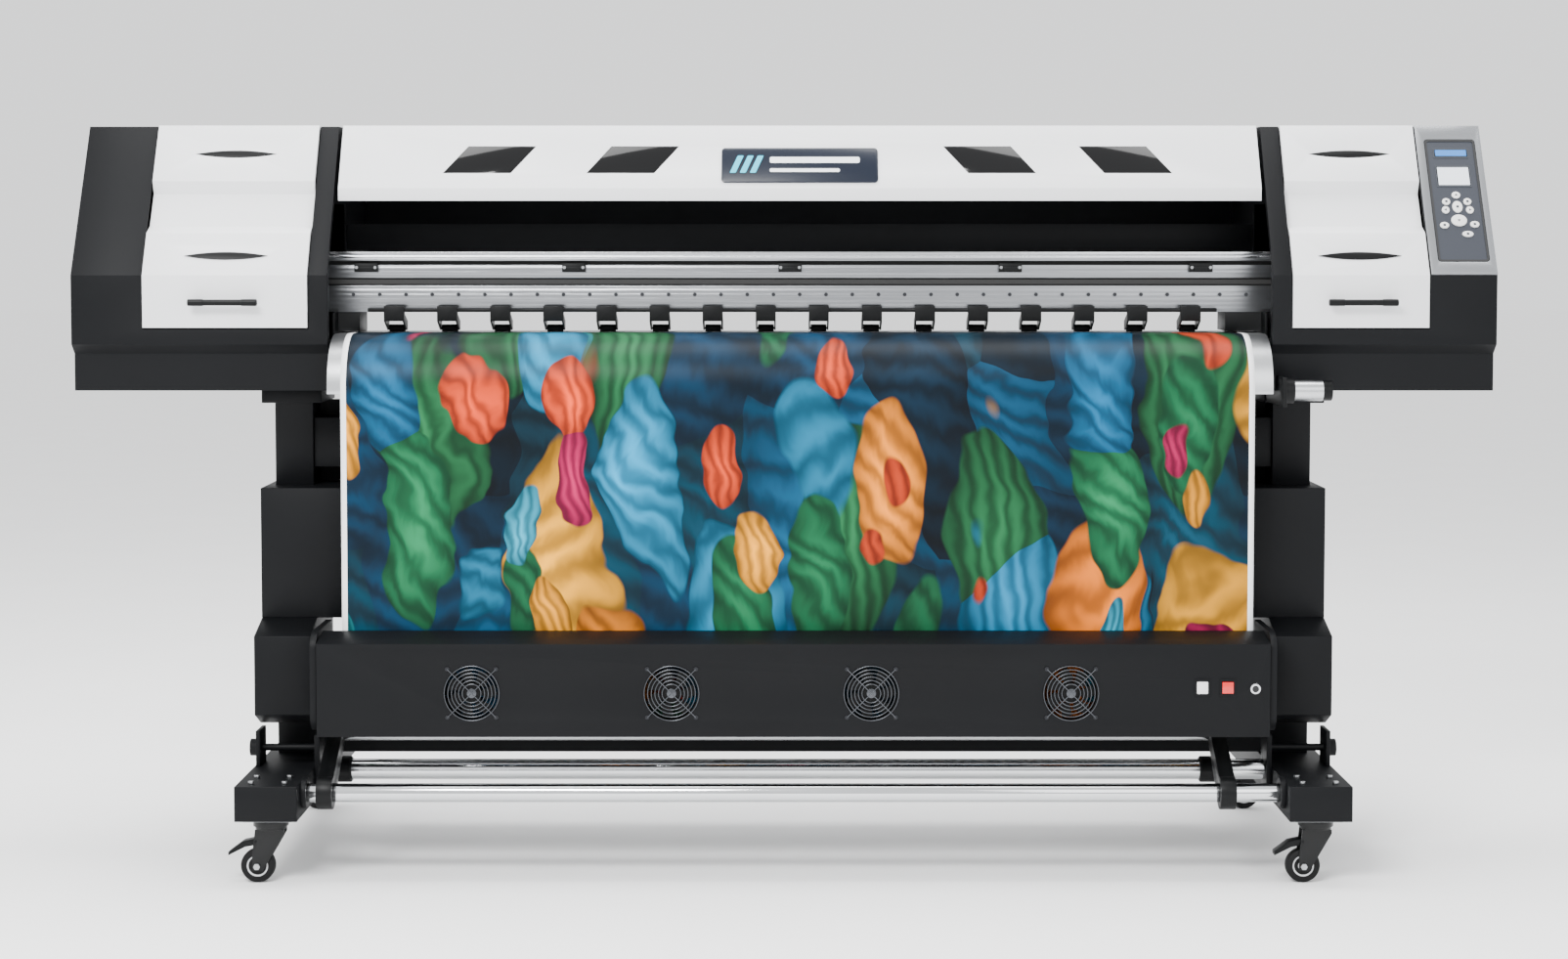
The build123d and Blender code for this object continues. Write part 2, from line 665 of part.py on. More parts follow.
SIDE_PLATE = 5.0
CLIP_XS = (-835.0, -420.0, 12.0, 452.0, 833.0)
BLOCK_BASE_Z = WEB_TOP + 3
with BuildPart() as side_plates:
    for wall_x, inward, block_width in (
        (LEFT_INNER, 1, SIDE_BLOCK_LEFT),
        (RIGHT_INNER, -1, SIDE_BLOCK_RIGHT),
    ):
        plate_x = sorted((wall_x, wall_x + inward * SIDE_PLATE))
        block_x = sorted((wall_x, wall_x + inward * block_width))
        block(plate_x, (back(60), back(250)), (PLATEN_BASE_Z + 20, BEAM_BASE_Z))
        block(block_x, (BEAM_Y[0], BEAM_Y[1]), (BLOCK_BASE_Z, BEAM_BASE_Z))
        rod(plate_x, GRIT_Y, GRIT_Z, GRIT_RADIUS + BORE_CLEARANCE, Mode.SUBTRACT)
    for x in CLIP_XS:
        block((x - 23, x + 23), (BEAM_Y[0] - 8, BEAM_Y[0]), (RAIL_SLOT_Z - 14, RAIL_SLOT_Z + 3))
        block(
            (x - 14, x + 14), (BEAM_Y[0] - CLIP_REACH, BEAM_Y[0] - 8),
            (RAIL_SLOT_Z - 12, RAIL_SLOT_Z - 4),
        )
save(side_plates, "side_plates")

with BuildPart() as grit_roller:
    rod((LEFT_INNER + 0.5, RIGHT_INNER - 0.5), GRIT_Y, GRIT_Z, GRIT_RADIUS)
save(grit_roller, "grit_roller")

# The web: up from the supply roll, over both platens and down the front.
WEB_FRONT_RADIUS = PLATEN_RADIUS + RUNNING_GAP + MEDIA_THICKNESS
WEB_REAR_RADIUS = REAR_PLATEN_RADIUS + RUNNING_GAP + MEDIA_THICKNESS
with BuildPart() as media_web:
    curved_sheet(
        (MEDIA_LOW, MEDIA_HIGH), WEB_TOP, WEB_FRONT_RADIUS,
        GRIT_Y, FRONT_ARC_Y, MEDIA_END_Z, MEDIA_THICKNESS,
    )
    curved_sheet(
        (MEDIA_LOW, MEDIA_HIGH), WEB_TOP, WEB_REAR_RADIUS,
        GRIT_Y, REAR_ARC_Y, ROLL_Z, MEDIA_THICKNESS,
    )
save(media_web, "media_web")

ROLL_Y = REAR_ARC_Y + WEB_REAR_RADIUS + RUNNING_GAP + ROLL_RADIUS
PINCH_SHAFT_Y = back(BEAM_BACK - 7)
PINCH_SHAFT_Z = BEAM_BASE_Z + 4
PINCH_Z = WEB_TOP + RUNNING_GAP + PINCH_WHEEL_RADIUS
PINCH_XS = [
    BAY_CENTRE - 15 + (i - (PINCH_COUNT - 1) / 2) * PINCH_PITCH for i in range(PINCH_COUNT)
]
AXLE_RADIUS = 2.0
CHEEK = 3.0
# Side view of one arm: it hooks from the lift shaft down and back to the wheel.
ARM_OUTLINE = [
    (PINCH_SHAFT_Y - 9, PINCH_SHAFT_Z + 8),
    (PINCH_SHAFT_Y - 9, PINCH_SHAFT_Z - 22),
    (GRIT_Y - 6, PINCH_Z - 4),
    (GRIT_Y + 6, PINCH_Z - 4),
    (GRIT_Y + 8, PINCH_Z + 14),
    (PINCH_SHAFT_Y + 5, PINCH_SHAFT_Z - 8),
    (PINCH_SHAFT_Y + 5, PINCH_SHAFT_Z + 8),
]
with BuildPart() as pinch_arms:
    for x in PINCH_XS:
        for side in (-1, 1):
            outer = x + side * PINCH_ARM_WIDTH / 2
            cheek_x = sorted((outer, outer - side * CHEEK))
            prism(cheek_x, ARM_OUTLINE)
            rod(cheek_x, GRIT_Y, PINCH_Z, AXLE_RADIUS + BORE_CLEARANCE, Mode.SUBTRACT)
        block(
            (x - PINCH_ARM_WIDTH / 2, x + PINCH_ARM_WIDTH / 2),
            (PINCH_SHAFT_Y - 9, PINCH_SHAFT_Y - 6),
            (PINCH_SHAFT_Z - 22, PINCH_SHAFT_Z + 8),
        )
    rod(
        (PINCH_XS[0] - PINCH_PITCH / 2, PINCH_XS[-1] + PINCH_PITCH / 2),
        PINCH_SHAFT_Y, PINCH_SHAFT_Z, PINCH_SHAFT_RADIUS,
    )
save(pinch_arms, "pinch_arms")

with BuildPart() as pinch_wheels:
    for x in PINCH_XS:
        rod((x - PINCH_WHEEL_WIDTH / 2 + 1, x + PINCH_WHEEL_WIDTH / 2 - 1), GRIT_Y, PINCH_Z, PINCH_WHEEL_RADIUS)
        rod((x - PINCH_ARM_WIDTH / 2, x + PINCH_ARM_WIDTH / 2), GRIT_Y, PINCH_Z, AXLE_RADIUS)
save(pinch_wheels, "pinch_wheels")

# ---------------------------------------------------------------------- stand
FOOT_Y = (-FOOT_LENGTH / 2, FOOT_LENGTH / 2)
COLUMN_Y = (back(COLUMN_BACK), back(COLUMN_BACK + COLUMN_DEPTH))
with BuildPart() as feet:
    for x in LEG_XS:
        foot_x = (x - FOOT_WIDTH / 2, x + FOOT_WIDTH / 2)
        block(foot_x, FOOT_Y, (FOOT_Z, FOOT_TOP))
        cut(
            (foot_x[0] + FOOT_WALL, foot_x[1] - FOOT_WALL), (FOOT_Y[0] + FOOT_WALL, FOOT_Y[1]),
            (FOOT_Z + FOOT_WALL, FOOT_TOP - FOOT_WALL),
        )
save(feet, "feet")

LOWER_STRETCHER_Z = (FOOT_TOP, FOOT_TOP + 104)
UPPER_STRETCHER_Z = (BASE_Z - 163, BASE_Z - 63)
WEB_PLATE = 60.0
with BuildPart() as stand_frame:
    for x, inward in zip(LEG_XS, (1, -1)):
        column_x = (x - COLUMN_WIDTH / 2, x + COLUMN_WIDTH / 2)
        block(column_x, COLUMN_Y, (FOOT_TOP, BASE_Z - BRACKET_HEIGHT))
        cut(
            (column_x[0] + COLUMN_WALL, column_x[1] - COLUMN_WALL),
            (COLUMN_Y[0] + COLUMN_WALL, COLUMN_Y[1] - COLUMN_WALL),
            (FOOT_TOP, BASE_Z - BRACKET_HEIGHT - COLUMN_WALL),
        )
        plate_x = sorted((x + inward * COLUMN_WIDTH / 2, x + inward * (COLUMN_WIDTH / 2 + WEB_PLATE)))
        block(plate_x, (COLUMN_Y[1] - 30, COLUMN_Y[1]), (UPPER_STRETCHER_Z[0] - 80, BASE_Z - BRACKET_HEIGHT))
        block(
            (x - FOOT_WIDTH / 2, x + FOOT_WIDTH / 2), (COLUMN_Y[0] - 30, COLUMN_Y[1] + 30),
            (BASE_Z - BRACKET_HEIGHT, BASE_Z),
        )
    inner_x = (LEG_XS[0] + COLUMN_WIDTH / 2, LEG_XS[1] - COLUMN_WIDTH / 2)
    for z in (LOWER_STRETCHER_Z, UPPER_STRETCHER_Z):
        block(inner_x, (COLUMN_Y[0] + 10, COLUMN_Y[0] + 70), z)
        cut(inner_x, (COLUMN_Y[0] + 14, COLUMN_Y[0] + 66), (z[0] + 4, z[1] - 4))
save(stand_frame, "stand_frame")

LOWER_COVER_WIDTH = 111.0
LOWER_COVER_Z = (FOOT_TOP + 80, FOOT_TOP + 287)
UPPER_COVER_TOP = 744.0
UPPER_COVER_BACK = 276.0
UPPER_COVER_REACH = 190.0
LOWER_COVER_OUTLINE = [
    (back(0), LOWER_COVER_Z[0] + 25),
    (back(0), LOWER_COVER_Z[1] - 25),
    (back(85), LOWER_COVER_Z[1]),
    (back(UPPER_COVER_BACK + 4), LOWER_COVER_Z[1]),
    (back(UPPER_COVER_BACK + 4), LOWER_COVER_Z[0]),
    (back(58), LOWER_COVER_Z[0]),
]
COLUMN_GAP = 1.0
with BuildPart() as leg_covers:
    for x, inward in zip(LEG_XS, (1, -1)):
        outer = x - inward * LOWER_COVER_WIDTH / 2
        lower_x = (x - LOWER_COVER_WIDTH / 2, x + LOWER_COVER_WIDTH / 2)
        upper_x = sorted((outer, outer + inward * UPPER_COVER_REACH))
        upper_z = (LOWER_COVER_Z[1] + RUNNING_GAP, UPPER_COVER_TOP)
        prism(lower_x, LOWER_COVER_OUTLINE)
        with BuildSketch(Plane.YZ.offset(lower_x[0] + COVER_WALL)):
            with BuildLine():
                Polyline(*LOWER_COVER_OUTLINE, close=True)
            make_face()
            offset(amount=-COVER_WALL, kind=Kind.INTERSECTION)
        extrude(amount=LOWER_COVER_WIDTH - 2 * COVER_WALL, mode=Mode.SUBTRACT)
        block(upper_x, (back(85), back(UPPER_COVER_BACK)), upper_z)
        cut(
            (upper_x[0] + COVER_WALL, upper_x[1] - COVER_WALL),
            (back(85) + COVER_WALL, back(UPPER_COVER_BACK) - COVER_WALL),
            (upper_z[0], upper_z[1] - COVER_WALL),
        )
        reach = sorted((x, x + inward * (COLUMN_WIDTH / 2 + WEB_PLATE + COLUMN_GAP)))
        cut(
            (x - COLUMN_WIDTH / 2 - COLUMN_GAP, x + COLUMN_WIDTH / 2 + COLUMN_GAP),
            (COLUMN_Y[0] - COLUMN_GAP, COLUMN_Y[1] + COLUMN_GAP),
            (LOWER_COVER_Z[0] - 10, UPPER_COVER_TOP + 10),
        )
        cut(
            reach, (COLUMN_Y[1] - 30 - COLUMN_GAP, COLUMN_Y[1] + COLUMN_GAP),
            (UPPER_COVER_TOP - 60, UPPER_COVER_TOP + 10),
        )
        passage_x = sorted((x, x + inward * (LOWER_COVER_WIDTH / 2 + COVER_WALL)))
        cut(
            passage_x,
            (COLUMN_Y[0] + 10 - COLUMN_GAP, COLUMN_Y[0] + 70 + COLUMN_GAP),
            (LOWER_COVER_Z[0] - 10, LOWER_STRETCHER_Z[1] + COLUMN_GAP),
        )
save(leg_covers, "leg_covers")

# ------------------------------------------------------- dryer box and its fans
DRYER_Y = (back(DRYER_FRONT), back(DRYER_FRONT + DRYER_DEPTH))
FAN_XS = [FAN_CENTRE_X + (i - (FAN_COUNT - 1) / 2) * FAN_PITCH for i in range(FAN_COUNT)]
ROCKER_X = DRYER_HIGH - 82
BUTTON_X = DRYER_HIGH - 131
JACK_X = DRYER_HIGH - 29
SWITCH_Z = 379.0
SWITCH_GAP = 0.5
ROCKER_PIN_RADIUS = 1.5
BRACKET_GAP = 2.0
DRYER_OUTLINE = [
    (DRYER_Y[0], DRYER_BASE_Z),
    (DRYER_Y[0], DRYER_BASE_Z + DRYER_FACE_HEIGHT),
    (DRYER_Y[1], DRYER_BASE_Z + DRYER_HEIGHT),
    (DRYER_Y[1], DRYER_BASE_Z),
]


def front_sketch_plane(y):
    """Plane facing the front: local x is right, local y is up."""
    return Plane.XZ.offset(-y)


with BuildPart() as dryer_case:
    prism((DRYER_LOW, DRYER_HIGH), DRYER_OUTLINE)
    prism((DRYER_LOW + DRYER_WALL, DRYER_HIGH - DRYER_WALL), [
        (DRYER_Y[0] + DRYER_WALL, DRYER_BASE_Z + DRYER_WALL),
        (DRYER_Y[0] + DRYER_WALL, DRYER_BASE_Z + DRYER_FACE_HEIGHT - DRYER_WALL),
        (DRYER_Y[1] + 1, DRYER_BASE_Z + DRYER_HEIGHT - DRYER_WALL),
        (DRYER_Y[1] + 1, DRYER_BASE_Z + DRYER_WALL),
    ], Mode.SUBTRACT)
    with BuildSketch(front_sketch_plane(DRYER_Y[0])):
        with Locations([(x, FAN_Z) for x in FAN_XS]):
            Circle(FAN_BORE)
        with Locations((ROCKER_X, SWITCH_Z), (BUTTON_X, SWITCH_Z)):
            Rectangle(22 + 2 * SWITCH_GAP, 24 + 2 * SWITCH_GAP)
    extrude(amount=-10, mode=Mode.SUBTRACT)
    for x in (ROCKER_X, BUTTON_X):
        with BuildSketch(front_sketch_plane(DRYER_Y[0])):
            with Locations((x, SWITCH_Z)):
                Rectangle(30, 34)
                Rectangle(22 + 2 * SWITCH_GAP, 24 + 2 * SWITCH_GAP, mode=Mode.SUBTRACT)
        extrude(amount=2)
    with BuildSketch(front_sketch_plane(DRYER_Y[0])):
        with Locations((JACK_X, SWITCH_Z - 2)):
            Circle(11)
            Circle(5, mode=Mode.SUBTRACT)
    extrude(amount=4)
    rod((ROCKER_X - 13, ROCKER_X + 13), DRYER_Y[0], SWITCH_Z, ROCKER_PIN_RADIUS)
    # A cheek plate at each end carries the box on the leg covers.
    for edge, leg_x, outward in ((DRYER_LOW, LEG_XS[0], -1), (DRYER_HIGH, LEG_XS[1], 1)):
        plate_x = sorted((edge + outward * BRACKET_GAP, edge + outward * (BRACKET_GAP + 12)))
        with BuildSketch(Plane.YZ.offset(plate_x[0])) as cheek:
            with BuildLine():
                Polyline(
                    (DRYER_Y[0] + 8, DRYER_BASE_Z + 7),
                    (DRYER_Y[0] + 8, LOWER_COVER_Z[1]),
                    (back(60), LOWER_COVER_Z[1]),
                    (back(60), DRYER_BASE_Z + 7),
                    close=True,
                )
            make_face()
            fillet(cheek.vertices().sort_by(Axis.X)[:2], 34)
        extrude(amount=12)
        face_x = leg_x - outward * LOWER_COVER_WIDTH / 2
        stub_x = sorted((edge + outward * (BRACKET_GAP + 12), face_x))
        if stub_x[1] - stub_x[0] > 1:
            block(stub_x, (back(18), back(52)), (DRYER_BASE_Z + 47, DRYER_BASE_Z + 147))
        tab_x = sorted((edge, edge + outward * BRACKET_GAP))
        block(tab_x, (DRYER_Y[0] + 30, DRYER_Y[1] - 10), (DRYER_BASE_Z + 47, DRYER_BASE_Z + 147))
save(dryer_case, "dryer_case")

GUARD_RINGS = (53.0, 46.0, 39.0, 32.0, 25.0, 18.0)
GUARD_WIRE = 2.0
HUB_RADIUS = 20.0
PIN_RADIUS = 2.5
with BuildPart() as fan_frames:
    for x in FAN_XS:
        with BuildSketch(front_sketch_plane(DRYER_Y[0] + DRYER_WALL)):
            with Locations((x, FAN_Z)):
                RectangleRounded(FAN_FRAME, FAN_FRAME, 6)
                Circle(FAN_BORE, mode=Mode.SUBTRACT)
        extrude(amount=-FAN_DEPTH)
        with BuildSketch(front_sketch_plane(DRYER_Y[0] + DRYER_WALL + FAN_DEPTH)):
            with Locations((x, FAN_Z)):
                Circle(HUB_RADIUS)
                with Locations(Rotation(0, 0, 45)):
                    Rectangle(2 * FAN_BORE + 2, 6)
                    Rectangle(6, 2 * FAN_BORE + 2)
        extrude(amount=3)
        with BuildSketch(front_sketch_plane(DRYER_Y[0] + DRYER_WALL + FAN_DEPTH)):
            with Locations((x, FAN_Z)):
                Circle(PIN_RADIUS + BORE_CLEARANCE)
        extrude(amount=5, mode=Mode.SUBTRACT)
    # A wire guard stands in front of each fan, on the box's face.
    for x in FAN_XS:
        with BuildSketch(front_sketch_plane(DRYER_Y[0])):
            with Locations((x, FAN_Z)):
                for ring in GUARD_RINGS:
                    Circle(ring + GUARD_WIRE / 2)
                    Circle(ring - GUARD_WIRE / 2, mode=Mode.SUBTRACT)
        extrude(amount=GUARD_WIRE)
        with BuildSketch(front_sketch_plane(DRYER_Y[0])):
            with Locations((x, FAN_Z)):
                Circle(9)
                for turn in (45, 135):
                    Rectangle(FAN_SCREW_SPACING * 1.41421356, 3, rotation=turn)
                for sx in (-1, 1):
                    for sz in (-1, 1):
                        with Locations((sx * FAN_SCREW_SPACING / 2, sz * FAN_SCREW_SPACING / 2)):
                            Circle(4.5)
        extrude(amount=GUARD_WIRE)
save(fan_frames, "fan_frames")

BLADES = 7
for number, x in enumerate(FAN_XS, start=1):
    with BuildPart() as rotor:
        front_y = DRYER_Y[0] + DRYER_WALL + 2
        with BuildSketch(front_sketch_plane(front_y)):
            with Locations((x, FAN_Z)):
                Circle(HUB_RADIUS)
        extrude(amount=-(FAN_DEPTH - 7))
        with BuildSketch(front_sketch_plane(front_y + 4)):
            with Locations((x, FAN_Z)):
                with PolarLocations(0, BLADES):
                    with Locations(((HUB_RADIUS + FAN_BORE) / 2 - 2, 0)):
                        Rectangle(FAN_BORE - HUB_RADIUS - 5, 20, rotation=25)
        extrude(amount=-2.5)
        with BuildSketch(front_sketch_plane(front_y)):
            with Locations((x, FAN_Z)):
                Circle(PIN_RADIUS)
        extrude(amount=-(FAN_DEPTH - 3))
    save(rotor, f"fan_rotor_{number}")

with BuildPart() as rocker_switch:
    with BuildSketch(front_sketch_plane(DRYER_Y[0] - 3)):
        with Locations((ROCKER_X, SWITCH_Z)):
            Rectangle(22 - SWITCH_GAP, 24 - 4 * SWITCH_GAP)
    extrude(amount=-7)
    rod(
        (ROCKER_X - 12, ROCKER_X + 12), DRYER_Y[0], SWITCH_Z,
        ROCKER_PIN_RADIUS + BORE_CLEARANCE, Mode.SUBTRACT,
    )
save(rocker_switch, "rocker_switch")

with BuildPart() as push_switch:
    with BuildSketch(front_sketch_plane(DRYER_Y[0] - 4)):
        with Locations((BUTTON_X, SWITCH_Z)):
            RectangleRounded(22 - SWITCH_GAP, 24 - SWITCH_GAP, 2)
    extrude(amount=-9)
save(push_switch, "push_switch")

# ------------------------------------------------------- rollers and their mounts
BEARING_PLATE = 10.0
INNER_FEET = (LEG_XS[0] + FOOT_WIDTH / 2, LEG_XS[1] - FOOT_WIDTH / 2)
DANCER_Y = back(DANCER_BACK)
TAKEUP_Y = back(TAKEUP_BACK)
DRIVE_SHAFT_Z = FOOT_TOP + 33
DRIVE_SHAFT_RADIUS = 7.0
SUPPLY_PLATE_GAP = 2.0


def ring_block(x, y, z, bore, outer):
    """A round bearing block along x, bored through with a running clearance."""
    rod(x, y, z, outer)
    rod(x, y, z, bore + BORE_CLEARANCE, Mode.SUBTRACT)


with BuildPart() as roll_brackets:
    for foot_x, leg_x, inward in ((INNER_FEET[0], LEG_XS[0], 1), (INNER_FEET[1], LEG_XS[1], -1)):
        plate_x = sorted((foot_x, foot_x + inward * BEARING_PLATE))
        ring_block(plate_x, DANCER_Y, DANCER_Z, DANCER_RADIUS, DANCER_RADIUS + 12)
        block(plate_x, (TAKEUP_Y - 34, TAKEUP_Y + 34), (TAKEUP_Z - 36, DRIVE_SHAFT_Z + 30))
        rod(plate_x, TAKEUP_Y, TAKEUP_Z, JOURNAL_RADIUS + BORE_CLEARANCE, Mode.SUBTRACT)
        outer_x = sorted((leg_x - inward * (FOOT_WIDTH / 2 - 4), leg_x - inward * (FOOT_WIDTH / 2 - 12)))
        block(outer_x, (TAKEUP_Y - 34, TAKEUP_Y + 34), (FOOT_TOP, DRIVE_SHAFT_Z + 38))
        shaft_x = sorted((leg_x - inward * (FOOT_WIDTH / 2 + 12), foot_x))
        rod(shaft_x, TAKEUP_Y, DRIVE_SHAFT_Z, DRIVE_SHAFT_RADIUS)
        knob_x = sorted((leg_x - inward * (FOOT_WIDTH / 2 + 12), leg_x - inward * (FOOT_WIDTH / 2 - 4)))
        rod(knob_x, TAKEUP_Y, DRIVE_SHAFT_Z, 17)
        supply_x = sorted((leg_x - inward * 5, leg_x + inward * 5))
        prism(supply_x, [
            (ROLL_Y - 60, FOOT_TOP),
            (ROLL_Y - 22, ROLL_Z + 22),
            (ROLL_Y + 22, ROLL_Z + 22),
            (ROLL_Y + 60, FOOT_TOP),
        ])
        rod(supply_x, ROLL_Y, ROLL_Z, JOURNAL_RADIUS + BORE_CLEARANCE, Mode.SUBTRACT)
save(roll_brackets, "roll_brackets")

with BuildPart() as supply_roll:
    with BuildSketch(Plane.YZ.offset(MEDIA_LOW)):
        with Locations((ROLL_Y, ROLL_Z)):
            Circle(ROLL_RADIUS)
            Circle(TAKEUP_RADIUS + RUNNING_GAP, mode=Mode.SUBTRACT)
    extrude(amount=MEDIA_WIDTH)
    rod((LEG_XS[0] + 5 + SUPPLY_PLATE_GAP, LEG_XS[1] - 5 - SUPPLY_PLATE_GAP), ROLL_Y, ROLL_Z, TAKEUP_RADIUS)
    rod((LEG_XS[0] - 12, LEG_XS[1] + 12), ROLL_Y, ROLL_Z, JOURNAL_RADIUS)
save(supply_roll, "supply_roll")

HUB_WIDTH = 44.0
TAKEUP_X = (INNER_FEET[0] + BEARING_PLATE + SUPPLY_PLATE_GAP, INNER_FEET[1] - BEARING_PLATE - SUPPLY_PLATE_GAP)
LEFT_HUB_X = (TAKEUP_X[0] + 15, TAKEUP_X[0] + 15 + HUB_WIDTH)
RIGHT_HUB_X = (TAKEUP_X[1] - 84 - HUB_WIDTH, TAKEUP_X[1] - 84)
with BuildPart() as takeup_roller:
    rod(TAKEUP_X, TAKEUP_Y, TAKEUP_Z, TAKEUP_RADIUS)
    rod((INNER_FEET[0] + 0.5, INNER_FEET[1] - 0.5), TAKEUP_Y, TAKEUP_Z, JOURNAL_RADIUS)
    for hub_x in (LEFT_HUB_X, RIGHT_HUB_X):
        rod(hub_x, TAKEUP_Y, TAKEUP_Z, TAKEUP_RADIUS + 6)
save(takeup_roller, "takeup_roller")

ARM_WIDTH = 30.0
ARM_LEFT_X = (TAKEUP_X[0] + 18, TAKEUP_X[0] + 18 + ARM_WIDTH)
ARM_RIGHT_X = (TAKEUP_X[1] - 84 - ARM_WIDTH, TAKEUP_X[1] - 84)
ARM_PIVOT_RADIUS = 32.0
DANCER_BAR_Y = back(DANCER_BAR_BACK)
with BuildPart() as dancer_arms:
    for arm_x in (ARM_LEFT_X, ARM_RIGHT_X):
        lean = atan2(DANCER_BAR_Z - DANCER_Z, DANCER_BAR_Y - DANCER_Y)
        across = (-sin(lean), cos(lean))
        wide = ARM_PIVOT_RADIUS * 0.85
        slim = DANCER_BAR_RADIUS + 4
        prism(arm_x, [
            (DANCER_Y + across[0] * wide, DANCER_Z + across[1] * wide),
            (DANCER_BAR_Y + across[0] * slim, DANCER_BAR_Z + across[1] * slim),
            (DANCER_BAR_Y - across[0] * slim, DANCER_BAR_Z - across[1] * slim),
            (DANCER_Y - across[0] * wide, DANCER_Z - across[1] * wide),
        ])
        rod(arm_x, DANCER_Y, DANCER_Z, ARM_PIVOT_RADIUS)
        rod(arm_x, DANCER_BAR_Y, DANCER_BAR_Z, slim)
        rod(arm_x, DANCER_Y, DANCER_Z, DANCER_RADIUS, Mode.SUBTRACT)
        rod(arm_x, DANCER_BAR_Y, DANCER_BAR_Z, DANCER_BAR_RADIUS, Mode.SUBTRACT)
save(dancer_arms, "dancer_arms")

with BuildPart() as dancer_tubes:
    rod((INNER_FEET[0] + 0.5, INNER_FEET[1] - 0.5), DANCER_Y, DANCER_Z, DANCER_RADIUS)
    rod((ARM_LEFT_X[0] - 4, ARM_RIGHT_X[1] + 4), DANCER_BAR_Y, DANCER_BAR_Z, DANCER_BAR_RADIUS)
save(dancer_tubes, "dancer_tubes")

# --------------------------------------------------------------------- castors
PLATE_THICKNESS = 4.0
SWIVEL_Z = FOOT_Z - PLATE_THICKNESS
KINGPIN_RADIUS = 6.0
BALL_RACE_RADIUS = 34.0
FORK_CHEEK = 3.0
PEDAL_PIN_X = -2.0
PEDAL_PIN_Z = 2 * WHEEL_RADIUS + 16
PEDAL_PIN_RADIUS = 2.5
BRAKED = ("front_left", "front_right")
BOLT_RADIUS = 6.0
BOLT_HEAD = 6.0
BOLT_SPACING = (64.0, 60.0)
CASTORS = {
    "front_left": (LEG_XS[0], FOOT_Y[0] + CASTOR_INSET),
    "front_right": (LEG_XS[1], FOOT_Y[0] + CASTOR_INSET),
    "rear_left": (LEG_XS[0], FOOT_Y[1] - CASTOR_INSET),
    "rear_right": (LEG_XS[1], FOOT_Y[1] - CASTOR_INSET),
}
with BuildPart() as castor_plates:
    for x, y in CASTORS.values():
        block((x - 46, x + 46), (y - 40, y + 40), (SWIVEL_Z, FOOT_Z))
        with BuildSketch(Plane.XY.offset(SWIVEL_Z)):
            with Locations((x, y)):
                Circle(KINGPIN_RADIUS)
        extrude(amount=-14)
        with BuildSketch(Plane.XY.offset(FOOT_TOP)):
            with Locations((x, y)):
                with GridLocations(*BOLT_SPACING, 2, 2):
                    RegularPolygon(BOLT_RADIUS, 6)
        extrude(amount=BOLT_HEAD)
save(castor_plates, "castor_plates")

for name, (x, y) in CASTORS.items():
    axle_x = x - CASTOR_TRAIL
    race_top = SWIVEL_Z - 1
    crown_z = race_top - 18
    inner_y = WHEEL_WIDTH / 2 + 2
    with BuildPart() as fork:
        with BuildSketch(Plane.XY.offset(race_top)):
            with Locations((x, y)):
                Circle(BALL_RACE_RADIUS)
        extrude(amount=-12)
        with BuildSketch(Plane.XY.offset(race_top - 12)):
            with Locations((x, y)):
                Circle(BALL_RACE_RADIUS - 4)
        extrude(amount=-6)
        for side in (-1, 1):
            near = side * inner_y
            far = side * (inner_y + FORK_CHEEK)
            cheek_plane = front_sketch_plane(y + max(near, far))
            with BuildSketch(cheek_plane):
                with BuildLine():
                    Polyline(
                        (x - BALL_RACE_RADIUS + 6, crown_z),
                        (axle_x - 9, WHEEL_RADIUS + 22),
                        (axle_x - 9, WHEEL_RADIUS - 9),
                        (axle_x + 11, WHEEL_RADIUS - 9),
                        (x + BALL_RACE_RADIUS - 6, crown_z - 8),
                        (x + BALL_RACE_RADIUS - 6, crown_z),
                        close=True,
                    )
                make_face()
            extrude(amount=FORK_CHEEK)
        with BuildSketch(front_sketch_plane(y + inner_y + FORK_CHEEK)):
            with Locations((axle_x, WHEEL_RADIUS)):
                Circle(4)
        extrude(amount=2 * (inner_y + FORK_CHEEK))
        with BuildSketch(Plane.XY.offset(race_top)):
            with Locations((x, y)):
                Circle(KINGPIN_RADIUS + BORE_CLEARANCE)
        extrude(amount=-14, mode=Mode.SUBTRACT)
        if name in BRAKED:
            with BuildSketch(front_sketch_plane(y + inner_y + FORK_CHEEK)):
                with Locations((axle_x + PEDAL_PIN_X, PEDAL_PIN_Z)):
                    Circle(PEDAL_PIN_RADIUS + BORE_CLEARANCE)
            extrude(amount=2 * (inner_y + FORK_CHEEK), mode=Mode.SUBTRACT)
    save(fork, f"castor_fork_{name}")
    with BuildPart() as wheel:
        with BuildSketch(front_sketch_plane(y + WHEEL_WIDTH / 2)) as disc:
            with Locations((axle_x, WHEEL_RADIUS)):
                Circle(WHEEL_RADIUS)
                Circle(4 + BORE_CLEARANCE, mode=Mode.SUBTRACT)
        extrude(amount=WHEEL_WIDTH)
    save(wheel, f"castor_wheel_{name}")

